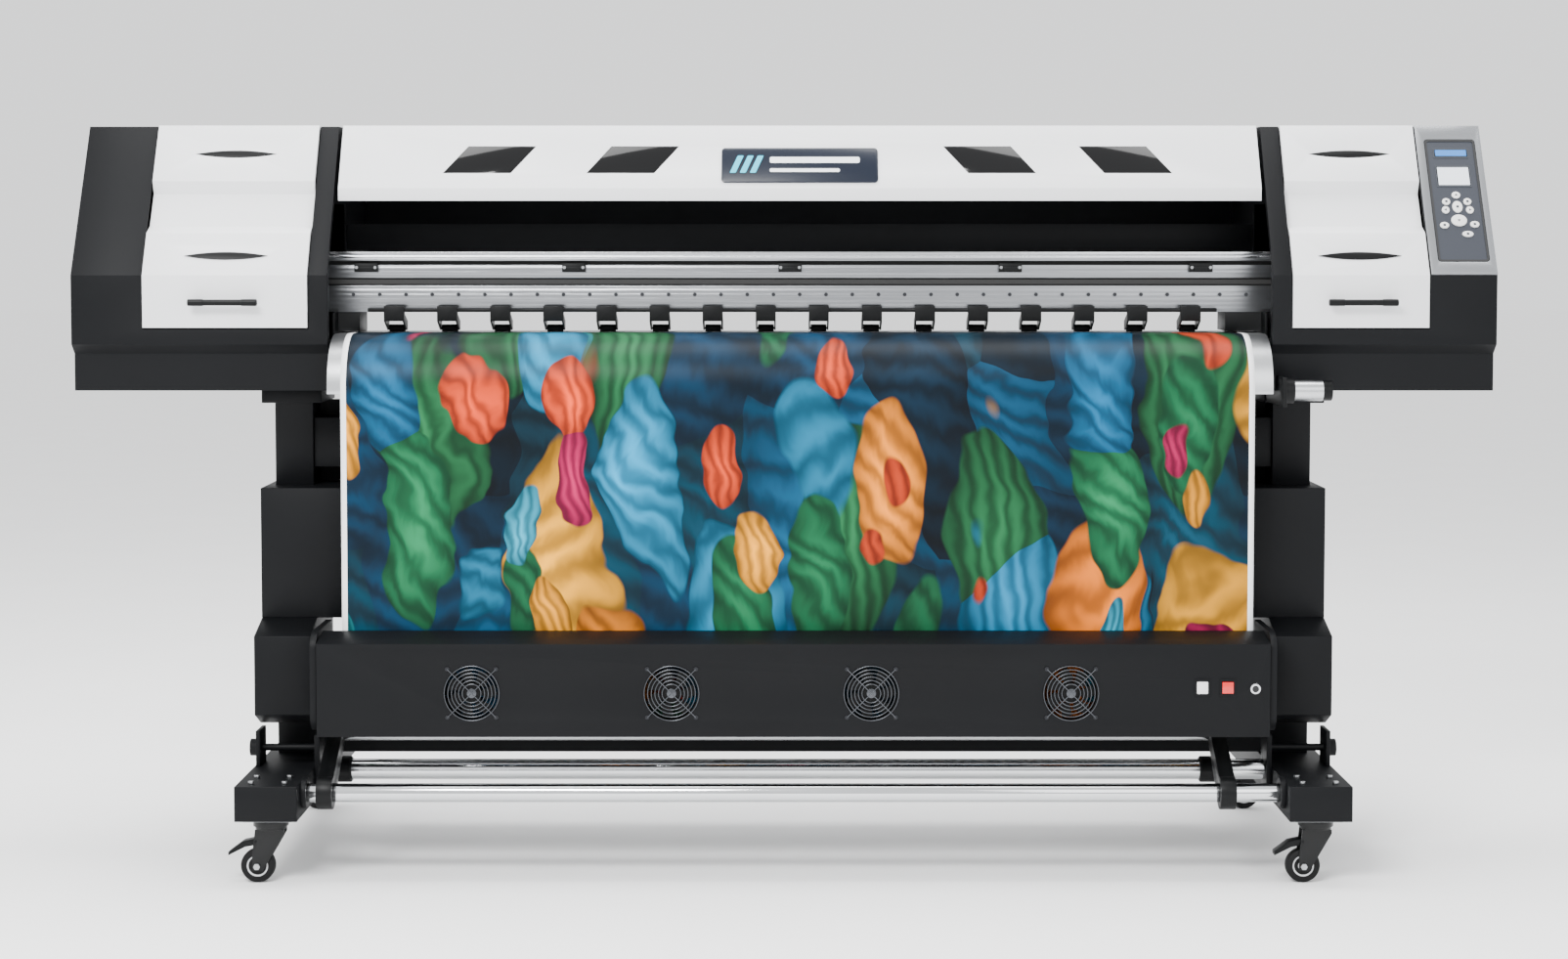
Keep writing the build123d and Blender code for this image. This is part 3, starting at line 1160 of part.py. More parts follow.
for name in BRAKED:
    x, y = CASTORS[name]
    axle_x = x - CASTOR_TRAIL
    with BuildPart() as pedal:
        with BuildSketch(front_sketch_plane(y + WHEEL_WIDTH / 2)):
            with BuildLine():
                Polyline(
                    (axle_x + 6, PEDAL_PIN_Z - 6),
                    (axle_x - 24, PEDAL_PIN_Z - 12),
                    (axle_x - 56, PEDAL_PIN_Z - 28),
                    (axle_x - 56, PEDAL_PIN_Z - 22),
                    (axle_x - 28, PEDAL_PIN_Z - 1),
                    (axle_x + 6, PEDAL_PIN_Z + 6),
                    close=True,
                )
            make_face()
        extrude(amount=WHEEL_WIDTH)
        with BuildSketch(front_sketch_plane(y + WHEEL_WIDTH / 2 + 2 + FORK_CHEEK)):
            with Locations((axle_x + PEDAL_PIN_X, PEDAL_PIN_Z)):
                Circle(PEDAL_PIN_RADIUS)
        extrude(amount=WHEEL_WIDTH + 4 + 2 * FORK_CHEEK)
    save(pedal, f"brake_pedal_{name}")

# ------------------------------------------------------ motors, ink and fasteners
MOTOR_BACK = -30.0
MOTOR_Z = BASE_Z + 3
MOTOR_RADIUS = 20.0
MOTOR_X = (LEG_XS[1] - FOOT_WIDTH / 2 + 28, LEG_XS[1] - FOOT_WIDTH / 2 + 102)
with BuildPart() as gear_motors:
    rod(MOTOR_X, back(MOTOR_BACK), MOTOR_Z, MOTOR_RADIUS)
    flange_x = (MOTOR_X[0] - 18, MOTOR_X[0])
    rod(flange_x, back(MOTOR_BACK), MOTOR_Z, MOTOR_RADIUS + 5)
    plate_x = (flange_x[0] - 8, flange_x[0])
    prism(plate_x, [
        (back(MOTOR_BACK) - 30, BASE_Z - 28),
        (back(MOTOR_BACK) - 30, BASE_Z + 30),
        (back(TRAY_SETBACK) - 4, BASE_Z + 30),
        (back(TRAY_SETBACK) - 4, BASE_Z),
        (COLUMN_Y[0] - 30, BASE_Z),
        (COLUMN_Y[0] - 30, BASE_Z - 28),
    ])
    rod((LEG_XS[0] - 40, LEG_XS[0] + 40), back(60), DRYER_BASE_Z + 80, 25)
save(gear_motors, "gear_motors")

with BuildPart() as ink_station:
    station_x = sum(CARRIAGE_X) / 2
    block((station_x - 80, station_x + 80), (back(50), back(84)), (BASE_Z + CASING_WALL, HEAD_Z - 4))
    for i in range(4):
        bottle_x = RIGHT_INNER + 60 + 88 * i
        block((bottle_x, bottle_x + 76), (back(330), back(470)), (BASE_Z + CASING_WALL, BASE_Z + 190))
save(ink_station, "ink_station")
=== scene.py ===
"""Roll-fed wide-format printer and cutter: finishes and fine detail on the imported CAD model."""
from math import cos, hypot, pi, radians, sin, tan

import bmesh
import bpy
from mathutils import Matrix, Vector


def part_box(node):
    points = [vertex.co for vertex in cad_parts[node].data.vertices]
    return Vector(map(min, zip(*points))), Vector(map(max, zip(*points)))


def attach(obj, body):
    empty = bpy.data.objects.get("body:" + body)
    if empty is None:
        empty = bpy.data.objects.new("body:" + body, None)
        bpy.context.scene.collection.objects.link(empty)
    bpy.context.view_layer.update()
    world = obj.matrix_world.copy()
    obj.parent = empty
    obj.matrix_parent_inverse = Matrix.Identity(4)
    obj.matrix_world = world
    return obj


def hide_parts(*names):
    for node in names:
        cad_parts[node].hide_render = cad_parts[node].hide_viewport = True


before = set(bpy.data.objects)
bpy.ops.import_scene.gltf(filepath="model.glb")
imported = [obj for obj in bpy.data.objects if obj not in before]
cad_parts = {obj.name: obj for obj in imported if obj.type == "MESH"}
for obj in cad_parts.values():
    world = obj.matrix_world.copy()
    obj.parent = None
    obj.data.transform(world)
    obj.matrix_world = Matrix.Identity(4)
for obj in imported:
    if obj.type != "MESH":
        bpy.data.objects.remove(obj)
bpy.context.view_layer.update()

# ---- Studio: a wide pale floor in bright air, three soft boxes, and a long lens level with the cabinets.
# The camera stands in front of the middle of the machine, and looks along +Y and a little down.


def linear(colour):
    """Linear RGBA of an sRGB hex colour such as "1f2122"."""
    channels = [int(colour[i:i + 2], 16) / 255 for i in (0, 2, 4)]
    return [c / 12.92 if c <= 0.04045 else ((c + 0.055) / 1.055) ** 2.4 for c in channels] + [1.0]


def add(tree, kind, links=None, values=None, **settings):
    """Adds a node with its settings, its sockets' values and its incoming links."""
    node = tree.nodes.new(kind)
    for key, value in settings.items():
        setattr(node, key, value)
    for socket, value in (values or {}).items():
        node.inputs[socket].default_value = value
    for socket, source in (links or {}).items():
        tree.links.new(source, node.inputs[socket])
    return node


def new_material(name):
    """An empty material, its node tree, and the Object coordinates that its patterns read."""
    material = bpy.data.materials.new(name)
    material.use_nodes = True
    material.node_tree.nodes.clear()
    place = add(material.node_tree, "ShaderNodeTexCoord").outputs["Object"]
    return material, material.node_tree, place


def finished(
    name, colour, roughness, grain, depth,
    metallic=0.0, coat=0.0, stretch=(1, 1, 1), variation=0.05, ribs=0.0, **more,
):
    """A solid-coloured finish: fine grain, sized in metres, over slow changes of tone and gloss."""
    material, tree, place = new_material(name)
    along = add(tree, "ShaderNodeMapping", {"Vector": place}, {"Scale": stretch}).outputs["Vector"]
    slow = add(tree, "ShaderNodeTexNoise", {"Vector": place}, {"Scale": 3.5, "Detail": 3.0})
    fine = add(tree, "ShaderNodeTexNoise", {"Vector": along}, {"Scale": 1 / grain, "Detail": 2.0})
    tone = linear(colour)
    ramp = add(tree, "ShaderNodeValToRGB", {"Fac": slow.outputs["Fac"]})
    ramp.color_ramp.elements[0].position = 0.3
    ramp.color_ramp.elements[1].position = 0.7
    ramp.color_ramp.elements[0].color = [c * (1 - variation) for c in tone[:3]] + [1]
    ramp.color_ramp.elements[1].color = [min(1, c * (1 + variation)) for c in tone[:3]] + [1]
    gloss = add(
        tree, "ShaderNodeMapRange", {"Value": fine.outputs["Fac"]},
        {"To Min": roughness * 0.85, "To Max": min(1.0, roughness * 1.15)},
    )
    height = fine.outputs["Fac"]
    if ribs:
        line = add(
            tree, "ShaderNodeTexWave", {"Vector": place}, {"Scale": pi / 10 / ribs, "Distortion": 0.0},
            bands_direction="Z",
        )
        height = add(tree, "ShaderNodeMath", {0: line.outputs["Fac"], 1: height}, operation="ADD").outputs[0]
    bump = add(tree, "ShaderNodeBump", {"Height": height}, {"Strength": 0.5, "Distance": depth})
    shader = add(
        tree, "ShaderNodeBsdfPrincipled",
        {
            "Base Color": ramp.outputs["Color"], "Roughness": gloss.outputs["Result"],
            "Normal": bump.outputs["Normal"],
        },
        {"Metallic": metallic, "Coat Weight": coat, **more},
    )
    add(tree, "ShaderNodeOutputMaterial", {"Surface": shader.outputs["BSDF"]})
    return material


CAMERA_Y = -5.61
CAMERA_Z = 1.25
CAMERA_TILT = radians(3.1)
HORIZON_SHIFT = -0.156
camera = bpy.data.objects.new("camera", bpy.data.cameras.new("camera"))
bpy.context.scene.collection.objects.link(camera)
camera.location = (0, CAMERA_Y, CAMERA_Z)
camera.rotation_euler = (pi / 2 - CAMERA_TILT, 0, 0)
camera.data.lens = 63.16
camera.data.sensor_width = 36
camera.data.shift_y = HORIZON_SHIFT + tan(CAMERA_TILT) * camera.data.lens / camera.data.sensor_width
bpy.context.scene.camera = camera

world = bpy.data.worlds.new("studio_air")
world.use_nodes = True
world.node_tree.nodes["Background"].inputs["Color"].default_value = linear("fafbfc")
world.node_tree.nodes["Background"].inputs["Strength"].default_value = 1.5
bpy.context.scene.world = world


def soft_box(name, place, aim, size, power):
    """A rectangular area light at a place, turned towards a point."""
    lamp = bpy.data.lights.new(name, "AREA")
    lamp.shape = "RECTANGLE"
    lamp.size, lamp.size_y = size
    lamp.energy = power
    holder = bpy.data.objects.new(name, lamp)
    holder.location = place
    holder.rotation_euler = (Vector(aim) - Vector(place)).to_track_quat("-Z", "Y").to_euler()
    bpy.context.scene.collection.objects.link(holder)


soft_box("key_light", (-1.8, -4.2, 4.2), (0, 0, 0.9), (2.4, 1.2), 420)
soft_box("fill_light", (2.8, -4.0, 2.6), (0, 0, 0.8), (2.5, 2.5), 60)
soft_box("top_light", (0, 0.4, 4.5), (0, 0, 0), (5.0, 2.5), 330)

FLOOR_REACH = 40.0
paper = finished("matt_paper_floor", "fbfbfb", 0.9, 0.004, 0.0002, variation=0.01)
floor_mesh = bpy.data.meshes.new("paper_floor")
corners = [(x * FLOOR_REACH, y * FLOOR_REACH, 0) for x, y in ((-1, -1), (1, -1), (1, 1), (-1, 1))]
floor_mesh.from_pydata(corners, [], [(0, 1, 2, 3)])
floor_mesh.materials.append(paper)
floor = bpy.data.objects.new("paper_floor", floor_mesh)
bpy.context.scene.collection.objects.link(floor)

# ---- End cabinets and rear cover: folded 3 mm steel sheet, powder-coated black.
# The folds are rounded by the brake, and the coat has a fine orange-peel texture.
powder_black = finished(
    "powder_coated_steel_black", "0c0d0f", 0.5, 0.0012, 0.0003, variation=0.12,
    **{"Specular IOR Level": 0.12},
)


def lay(name, bm, material, body="root", stands_for=(), flat_angle=30):
    """Turns a bmesh into a finished piece that rides on a body."""
    mesh = bpy.data.meshes.new(name)
    bm.to_mesh(mesh)
    bm.free()
    mesh.materials.append(material)
    mesh.shade_smooth()
    mesh.set_sharp_from_angle(angle=radians(flat_angle))
    piece = bpy.data.objects.new(name, mesh)
    bpy.context.scene.collection.objects.link(piece)
    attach(piece, body)
    if stands_for:
        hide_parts(*stands_for)
    return piece


def solids_of(node, keep=None):
    """A merged copy of a CAD node's solids. keep(low, high) picks them by their boxes."""
    bm = bmesh.new()
    bm.from_mesh(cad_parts[node].data)
    bmesh.ops.remove_doubles(bm, verts=bm.verts, dist=1e-6)
    left = set(bm.verts)
    dropped = []
    while left and keep:
        island, edge = set(), [left.pop()]
        while edge:
            vertex = edge.pop()
            island.add(vertex)
            for link in vertex.link_edges:
                other = link.other_vert(vertex)
                if other in left:
                    left.discard(other)
                    edge.append(other)
        corners = [[pick(v.co[i] for v in island) for i in range(3)] for pick in (min, max)]
        if not keep(*corners):
            dropped += island
    if dropped:
        bmesh.ops.delete(bm, geom=dropped, context="VERTS")
    bmesh.ops.dissolve_limit(bm, angle_limit=radians(0.5), verts=bm.verts, edges=bm.edges)
    return bm


def soften(bm, width, sharper_than=28, segments=2):
    """Rounds the edges that turn by more than an angle, as a press brake or a mould leaves them."""
    edges = [
        e for e in bm.edges
        if len(e.link_faces) == 2 and e.calc_face_angle() > radians(sharper_than)
    ]
    bmesh.ops.bevel(
        bm, geom=edges, offset=width, offset_type="OFFSET", segments=segments,
        profile=0.5, affect="EDGES", clamp_overlap=True,
    )
    bmesh.ops.remove_doubles(bm, verts=bm.verts, dist=2e-6)
    return bm


SHEET_FOLD = 0.0012
for node in ("left_casing", "right_casing", "rear_cover"):
    lay(
        f"{node}_shell", soften(solids_of(node), SHEET_FOLD), powder_black,
        stands_for=[node],
    )

# ---- Cover doors: pressed steel skins in satin white enamel.
# Each has moulded black finger grips let into its slope, and a black bar handle on its face.
white_enamel = finished("satin_enamel_white", "dddee0", 0.42, 0.003, 0.00008, coat=0.1, variation=0.012)
grip_black = finished("moulded_abs_black", "08090a", 0.42, 0.0008, 0.0001, **{"Specular IOR Level": 0.15})
def turned(bm, profile, y, z, along="X", x=0.0, segments=48):
    """Adds a turned solid to bm. profile is (place, radius) along the axis.

    The axis runs through y and z, or through x and z when it lies along Y.
    """
    rings = []
    for place, radius in profile:
        ring = []
        for i in range(segments):
            a = 2 * pi * i / segments
            if along == "X":
                ring.append(bm.verts.new((place, y + radius * cos(a), z + radius * sin(a))))
            else:
                ring.append(bm.verts.new((x + radius * cos(a), place, z + radius * sin(a))))
        rings.append(ring)
    for near, far in zip(rings, rings[1:]):
        for i in range(segments):
            j = (i + 1) % segments
            bm.faces.new((near[i], near[j], far[j], far[i]))
    bm.faces.new(rings[0][::-1])
    bm.faces.new(rings[-1])
    bmesh.ops.recalc_face_normals(bm, faces=bm.faces)
    return bm


BAR_RADIUS = 0.006
BAR_LENGTH = 0.135
BAR_Z = 1.118
SLEEVE_RADIUS = 0.0068
SLEEVE_LENGTH = 0.030
for side in ("left", "right"):
    body = f"{side}_door"
    lay(f"{side}_door_skin", soften(solids_of(body), SHEET_FOLD), white_enamel, body, [body])
    lay(
        f"{side}_door_fittings", soften(solids_of(f"{body}_handles"), 0.0015, segments=3),
        grip_black, body, [f"{body}_handles"],
    )
    bar_low, bar_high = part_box(f"{body}_handles")
    bar_y = bar_low[1] + BAR_RADIUS
    sleeves = bmesh.new()
    door_middle = (bar_low[0] + bar_high[0]) / 2
    for end, way in ((door_middle - BAR_LENGTH / 2, 1), (door_middle + BAR_LENGTH / 2, -1)):
        turned(sleeves, [
            (end, BAR_RADIUS - 0.001), (end + way * 0.0008, SLEEVE_RADIUS),
            (end + way * SLEEVE_LENGTH, SLEEVE_RADIUS),
            (end + way * (SLEEVE_LENGTH + 0.001), BAR_RADIUS - 0.001),
        ], bar_y, BAR_Z, segments=32)
    lay(f"{side}_handle_sleeves", sleeves, grip_black, body)

# ---- Hood: one folded enamelled sheet across the whole bay, hinged at its back edge.
# Four smoked acrylic panes and a plain dark badge plate are set in its slope.
FOLD_Z = 1.171
CASING_LOW, CASING_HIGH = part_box("left_casing")
FACE_Y = CASING_LOW[1]
TOP_Z = CASING_HIGH[2]
SLOPE_RUN = 0.170
SLOPE_RISE = TOP_Z - FOLD_Z
SLOPE_LENGTH = hypot(SLOPE_RUN, SLOPE_RISE)
UP_SLOPE = Vector((0, SLOPE_RUN, SLOPE_RISE)) / SLOPE_LENGTH
OUT_OF_SLOPE = Vector((0, -SLOPE_RISE, SLOPE_RUN)) / SLOPE_LENGTH


def on_slope(x, up, out):
    """A point on the cabinets' slope: its x, how far up the slope, and how far out of it."""
    return Vector((x, FACE_Y, FOLD_Z)) + UP_SLOPE * up + OUT_OF_SLOPE * out


def plate(bm, outline, thickness, raise_by):
    """Adds a thin plate to bm. outline is (x, up) on the slope, anticlockwise as seen from the front."""
    floor = [bm.verts.new(on_slope(x, up, raise_by)) for x, up in outline]
    face = [bm.verts.new(on_slope(x, up, raise_by + thickness)) for x, up in outline]
    bm.faces.new(face)
    bm.faces.new(floor[::-1])
    for i in range(len(outline)):
        j = (i + 1) % len(outline)
        bm.faces.new((floor[i], floor[j], face[j], face[i]))
    return bm


def rounded(x, up, width, height, radius, lean=0.0, steps=5):
    """Outline of a rounded rectangle on the slope; lean slides its top edge along x."""
    outline = []
    for sx, sy, turn in ((1, -1, -90), (1, 1, 0), (-1, 1, 90), (-1, -1, 180)):
        for step in range(steps + 1):
            angle = radians(turn + 90 * step / steps)
            px = sx * (width / 2 - radius) + radius * cos(angle)
            py = sy * (height / 2 - radius) + radius * sin(angle)
            outline.append((x + px + lean * py / height, up + py))
    return outline


smoked_acrylic = finished(
    "smoked_acrylic", "050506", 0.08, 0.02, 0.00001, **{"Specular IOR Level": 0.35},
)
badge_navy = finished(
    "gloss_badge_navy", "081120", 0.25, 0.004, 0.00002, coat=0.15, **{"Specular IOR Level": 0.3},
)
badge_cyan = finished("gloss_badge_cyan", "27b3cf", 0.25, 0.004, 0.00002, coat=0.6)
badge_white = finished("gloss_badge_white", "eef2f4", 0.25, 0.004, 0.00002, coat=0.6)
BADGE_TOP = 0.006
HOOD_LOW, HOOD_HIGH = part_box("hood")
BADGE_X = (HOOD_LOW[0] + HOOD_HIGH[0]) / 2
BADGE_UP = 0.250
WIDEST_PANE = 0.25
lay("hood_skin", soften(solids_of("hood"), SHEET_FOLD), white_enamel, "hood", ["hood"])
panes = solids_of("hood_inserts", lambda low, high: high[0] - low[0] < WIDEST_PANE)
lay("hood_windows", soften(panes, 0.0006), smoked_acrylic, "hood", ["hood_inserts"])
badge = solids_of("hood_inserts", lambda low, high: high[0] - low[0] > WIDEST_PANE)
lay("hood_badge", soften(badge, 0.0012), badge_navy, "hood", ["hood_inserts"])
bm = bmesh.new()
for place, width in ((-0.126, 0.012), (-0.106, 0.012), (-0.086, 0.012)):
    plate(bm, rounded(BADGE_X + place, BADGE_UP, width, 0.040, 0.002, lean=0.016), 0.001, BADGE_TOP)
lay("badge_stripes", bm, badge_cyan, "hood")
bm = bmesh.new()
plate(bm, rounded(BADGE_X + 0.030, BADGE_UP + 0.010, 0.180, 0.014, 0.004), 0.001, BADGE_TOP)
plate(bm, rounded(BADGE_X + 0.010, BADGE_UP - 0.014, 0.140, 0.008, 0.003), 0.001, BADGE_TOP)
lay("badge_bars", bm, badge_white, "hood")

# ---- Control panel: a silver-painted bezel round a slate keypad film with a black edge.
# Two displays sit above ten pale silicone keys, all in the plane of the slope.
silver_paint = finished("silver_painted_abs", "7d7f82", 0.34, 0.0009, 0.00008, metallic=0.5, coat=0.2)
slate_film = finished("polyester_film_slate", "242831", 0.4, 0.0015, 0.00003, coat=0.1)
seal_black = finished("rubber_seal_black", "121315", 0.6, 0.0012, 0.0001)
display_blue = finished("backlit_display_blue", "2f74bd", 0.15, 0.002, 0.00001, coat=0.8)
display_white = finished("backlit_display_white", "dfe6ee", 0.15, 0.002, 0.00001, coat=0.8)
silicone_white = finished("silicone_key_white", "dcdcda", 0.5, 0.001, 0.00006)
print_grey = finished("printed_legend_grey", "2b2f36", 0.5, 0.001, 0.00002)
PANEL_LOW, PANEL_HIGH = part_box("control_panel")
PANEL_X = (PANEL_LOW[0] + PANEL_HIGH[0]) / 2
PANEL_WIDTH = PANEL_HIGH[0] - PANEL_LOW[0]
PANEL_UP = 0.169
PANEL_HEIGHT = 0.280
DISPLAY_RAISE = 0.0033
DISPLAY_FILM = 0.0004
FRAME_WIDTH = 0.070
GLASS_WIDTH = 0.062
lay(
    "panel_bezel", soften(solids_of("control_bezel"), 0.001), silver_paint,
    stands_for=["control_bezel"],
)
lay("keypad_film", solids_of("control_panel"), slate_film, stands_for=["control_panel"])
bm = bmesh.new()
SEAL_WIDTH = 0.004
outer = rounded(PANEL_X, PANEL_UP, PANEL_WIDTH, PANEL_HEIGHT, 0.006)
inner = rounded(PANEL_X, PANEL_UP, PANEL_WIDTH - 2 * SEAL_WIDTH, PANEL_HEIGHT - 2 * SEAL_WIDTH, 0.004)
rings = [
    [bm.verts.new(on_slope(x, up, out)) for x, up in line]
    for line, out in ((outer, 0.0025), (outer, 0.0038), (inner, 0.0038), (inner, 0.0025))
]
for low_ring, high_ring in zip(rings, rings[1:] + rings[:1]):
    for i in range(len(outer)):
        j = (i + 1) % len(outer)
        bm.faces.new((low_ring[i], low_ring[j], high_ring[j], high_ring[i]))
bmesh.ops.recalc_face_normals(bm, faces=bm.faces)
lay("panel_seal", bm, seal_black)
for name, up, height, glass in (
    ("blue_display", 0.278, 0.017, display_blue), ("main_display", 0.224, 0.044, display_white),
):
    bm = plate(
        bmesh.new(), rounded(PANEL_X, up, FRAME_WIDTH, height + 0.006, 0.002), DISPLAY_FILM,
        DISPLAY_RAISE - DISPLAY_FILM,
    )
    lay(f"{name}_frame", bm, print_grey)
    bm = plate(
        bmesh.new(), rounded(PANEL_X, up, GLASS_WIDTH, height - 0.003, 0.001), DISPLAY_FILM, DISPLAY_RAISE,
    )
    lay(name, bm, glass)
ARROWS = {"up": 90, "down": 270, "left": 180, "right": 0}
for node in [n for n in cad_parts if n.startswith("key_")]:
    name = node[len("key_"):]
    lay(
        f"{name}_key", soften(solids_of(node), 0.0009, segments=3), silicone_white, node,
        [node],
    )
    low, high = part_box(node)
    x = (low[0] + high[0]) / 2
    up = (Vector((0, (low[1] + high[1]) / 2 - FACE_Y, (low[2] + high[2]) / 2 - FOLD_Z))).dot(UP_SLOPE)
    size = 0.0035
    if name in ARROWS:
        corners = [ARROWS[name] + 120 * i for i in range(3)]
    else:
        corners = [45 + 90 * i for i in range(4)]
    mark = [(x + size * cos(radians(a)), up + size * sin(radians(a))) for a in corners]
    lay(f"{name}_key_mark", plate(bmesh.new(), mark, 0.0001, 0.005), print_grey, node)

# ---- Beam, guide rail and drive belt: an extruded and anodised gantry beam with a ground rail on it.
# Die lines run along the extrusion, and a row of cap screws holds its lower face.
ALONG_X = (0.006, 1, 1)
BEAM_LOW, BEAM_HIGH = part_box("beam")
BEAM_TOP_Z = BEAM_HIGH[2]
BELT_ABOVE_BASE = 0.053
BELT_LOW_Z = BEAM_LOW[2] + BELT_ABOVE_BASE
RIB_PITCH = 0.009
anodised = finished(
    "anodised_aluminium_extrusion", "8b8d90", 0.3, 0.0012, 0.0006, metallic=1.0, stretch=ALONG_X,
    ribs=RIB_PITCH,
)
bright_aluminium = finished(
    "brushed_aluminium_sheet", "c2c4c6", 0.34, 0.0012, 0.00012, metallic=1.0, stretch=ALONG_X,
)
ground_steel = finished("ground_steel_rail", "c9cbce", 0.2, 0.0008, 0.00003, metallic=1.0, stretch=ALONG_X)
dark_screw = finished("blackened_cap_screw", "3a3b3e", 0.3, 0.0006, 0.00003, metallic=0.9)
zinc_steel = finished("zinc_plated_screw", "a9abad", 0.3, 0.0006, 0.00003, metallic=1.0)
# The belt's black rubber is also used for the painted shade sheets inside the beam's slots.
belt_rubber_and_slot_shade = finished("ribbed_belt_rubber_and_slot_shade", "141414", 0.7, 0.0015, 0.0002)
lay("gantry_beam", soften(solids_of("beam"), 0.0008), anodised, stands_for=["beam"])
lay(
    "carriage_rail", soften(solids_of("guide_rail"), 0.0005), ground_steel,
    stands_for=["guide_rail"],
)
# Thin black sheets line the belt slot and the rail slot. They are painted shade that darkens the recesses in
# the beam, in the belt's rubber finish.
BELT_SLOT = (BELT_LOW_Z, BELT_LOW_Z + 0.015, 0.0255)
RAIL_SLOT = (BEAM_TOP_Z - 0.013, BEAM_TOP_Z - 0.005, 0.0135)
SHADE_SHEET = 0.0004
slot_shade = bmesh.new()
for low_z, high_z, deep in (BELT_SLOT, RAIL_SLOT):
    face_y = BEAM_LOW[1]
    section = [
        (face_y, low_z), (face_y + deep, low_z), (face_y + deep, high_z), (face_y, high_z),
        (face_y, high_z - SHADE_SHEET), (face_y + deep - SHADE_SHEET, high_z - SHADE_SHEET),
        (face_y + deep - SHADE_SHEET, low_z + SHADE_SHEET), (face_y, low_z + SHADE_SHEET),
    ]
    ends = [[slot_shade.verts.new((x, y, z)) for y, z in section] for x in (BEAM_LOW[0], BEAM_HIGH[0])]
    for i in range(len(section)):
        j = (i + 1) % len(section)
        slot_shade.faces.new((ends[0][i], ends[0][j], ends[1][j], ends[1][i]))
    slot_shade.faces.new(ends[0][::-1])
    slot_shade.faces.new(ends[1])
bmesh.ops.recalc_face_normals(slot_shade, faces=slot_shade.faces)
lay("painted_slot_shade", slot_shade, belt_rubber_and_slot_shade)
lay("toothed_belt", solids_of("drive_belt"), belt_rubber_and_slot_shade, stands_for=["drive_belt"])


def node_group(name, inputs):
    """A geometry tree with named inputs, and its group input node."""
    tree = bpy.data.node_groups.new(name, "GeometryNodeTree")
    tree.interface.new_socket("Geometry", in_out="INPUT", socket_type="NodeSocketGeometry")
    for label, kind in inputs:
        tree.interface.new_socket(label, in_out="INPUT", socket_type=kind)
    tree.interface.new_socket("Geometry", in_out="OUTPUT", socket_type="NodeSocketGeometry")
    return tree, add(tree, "NodeGroupInput")


def grown(name, tree, points, settings, material, body="root", stands_for=(), flat_angle=30):
    """Runs a geometry tree on loose points, and lays its result as a plain mesh piece."""
    seed = bpy.data.meshes.new(f"{name}_points")
    seed.from_pydata(points, [], [])
    holder = bpy.data.objects.new(f"{name}_points", seed)
    bpy.context.scene.collection.objects.link(holder)
    modifier = holder.modifiers.new("grow", "NODES")
    modifier.node_group = tree
    sockets = {item.name: item.identifier for item in tree.interface.items_tree if item.in_out == "INPUT"}
    for label, value in {**settings, "Finish": material}.items():
        modifier[sockets[label]] = value
    bpy.context.view_layer.update()
    evaluated = holder.evaluated_get(bpy.context.evaluated_depsgraph_get())
    result = bpy.data.meshes.new_from_object(evaluated)
    bm = bmesh.new()
    bm.from_mesh(result)
    bpy.data.objects.remove(holder)
    return lay(name, bm, material, body, stands_for, flat_angle)


# A cap screw: a turned head with a sunk socket, set on each point and turned to face outwards.
screw_tree, given = node_group("cap_screws", [
    ("Head Radius", "NodeSocketFloat"), ("Head Height", "NodeSocketFloat"),
    ("Facing", "NodeSocketVector"), ("Finish", "NodeSocketMaterial"),
])
head = add(
    screw_tree, "GeometryNodeMeshCylinder",
    {"Radius": given.outputs["Head Radius"], "Depth": given.outputs["Head Height"]}, {"Vertices": 16},
)
socket_radius = add(
    screw_tree, "ShaderNodeMath", {0: given.outputs["Head Radius"]}, {1: 0.55}, operation="MULTIPLY",
)
socket_depth = add(
    screw_tree, "ShaderNodeMath", {0: given.outputs["Head Height"]}, {1: 1.2}, operation="MULTIPLY",
)
rise = add(screw_tree, "ShaderNodeCombineXYZ", {"Z": given.outputs["Head Height"]})
hexagon = add(
    screw_tree, "GeometryNodeMeshCylinder",
    {"Radius": socket_radius.outputs[0], "Depth": socket_depth.outputs[0]}, {"Vertices": 6},
)
raised = add(
    screw_tree, "GeometryNodeTransform",
    {"Geometry": hexagon.outputs["Mesh"], "Translation": rise.outputs[0]},
)
sunk = add(
    screw_tree, "GeometryNodeMeshBoolean",
    {"Mesh 1": head.outputs["Mesh"], "Mesh 2": raised.outputs["Geometry"]}, operation="DIFFERENCE",
)
spread = add(
    screw_tree, "GeometryNodeInstanceOnPoints",
    {"Points": given.outputs["Geometry"], "Instance": sunk.outputs["Mesh"]},
)
turned_out = add(
    screw_tree, "GeometryNodeRotateInstances",
    {"Instances": spread.outputs["Instances"], "Rotation": given.outputs["Facing"]},
)
solid = add(screw_tree, "GeometryNodeRealizeInstances", {"Geometry": turned_out.outputs["Instances"]})
dressed = add(
    screw_tree, "GeometryNodeSetMaterial",
    {"Geometry": solid.outputs["Geometry"], "Material": given.outputs["Finish"]},
)
add(screw_tree, "NodeGroupOutput", {"Geometry": dressed.outputs["Geometry"]})

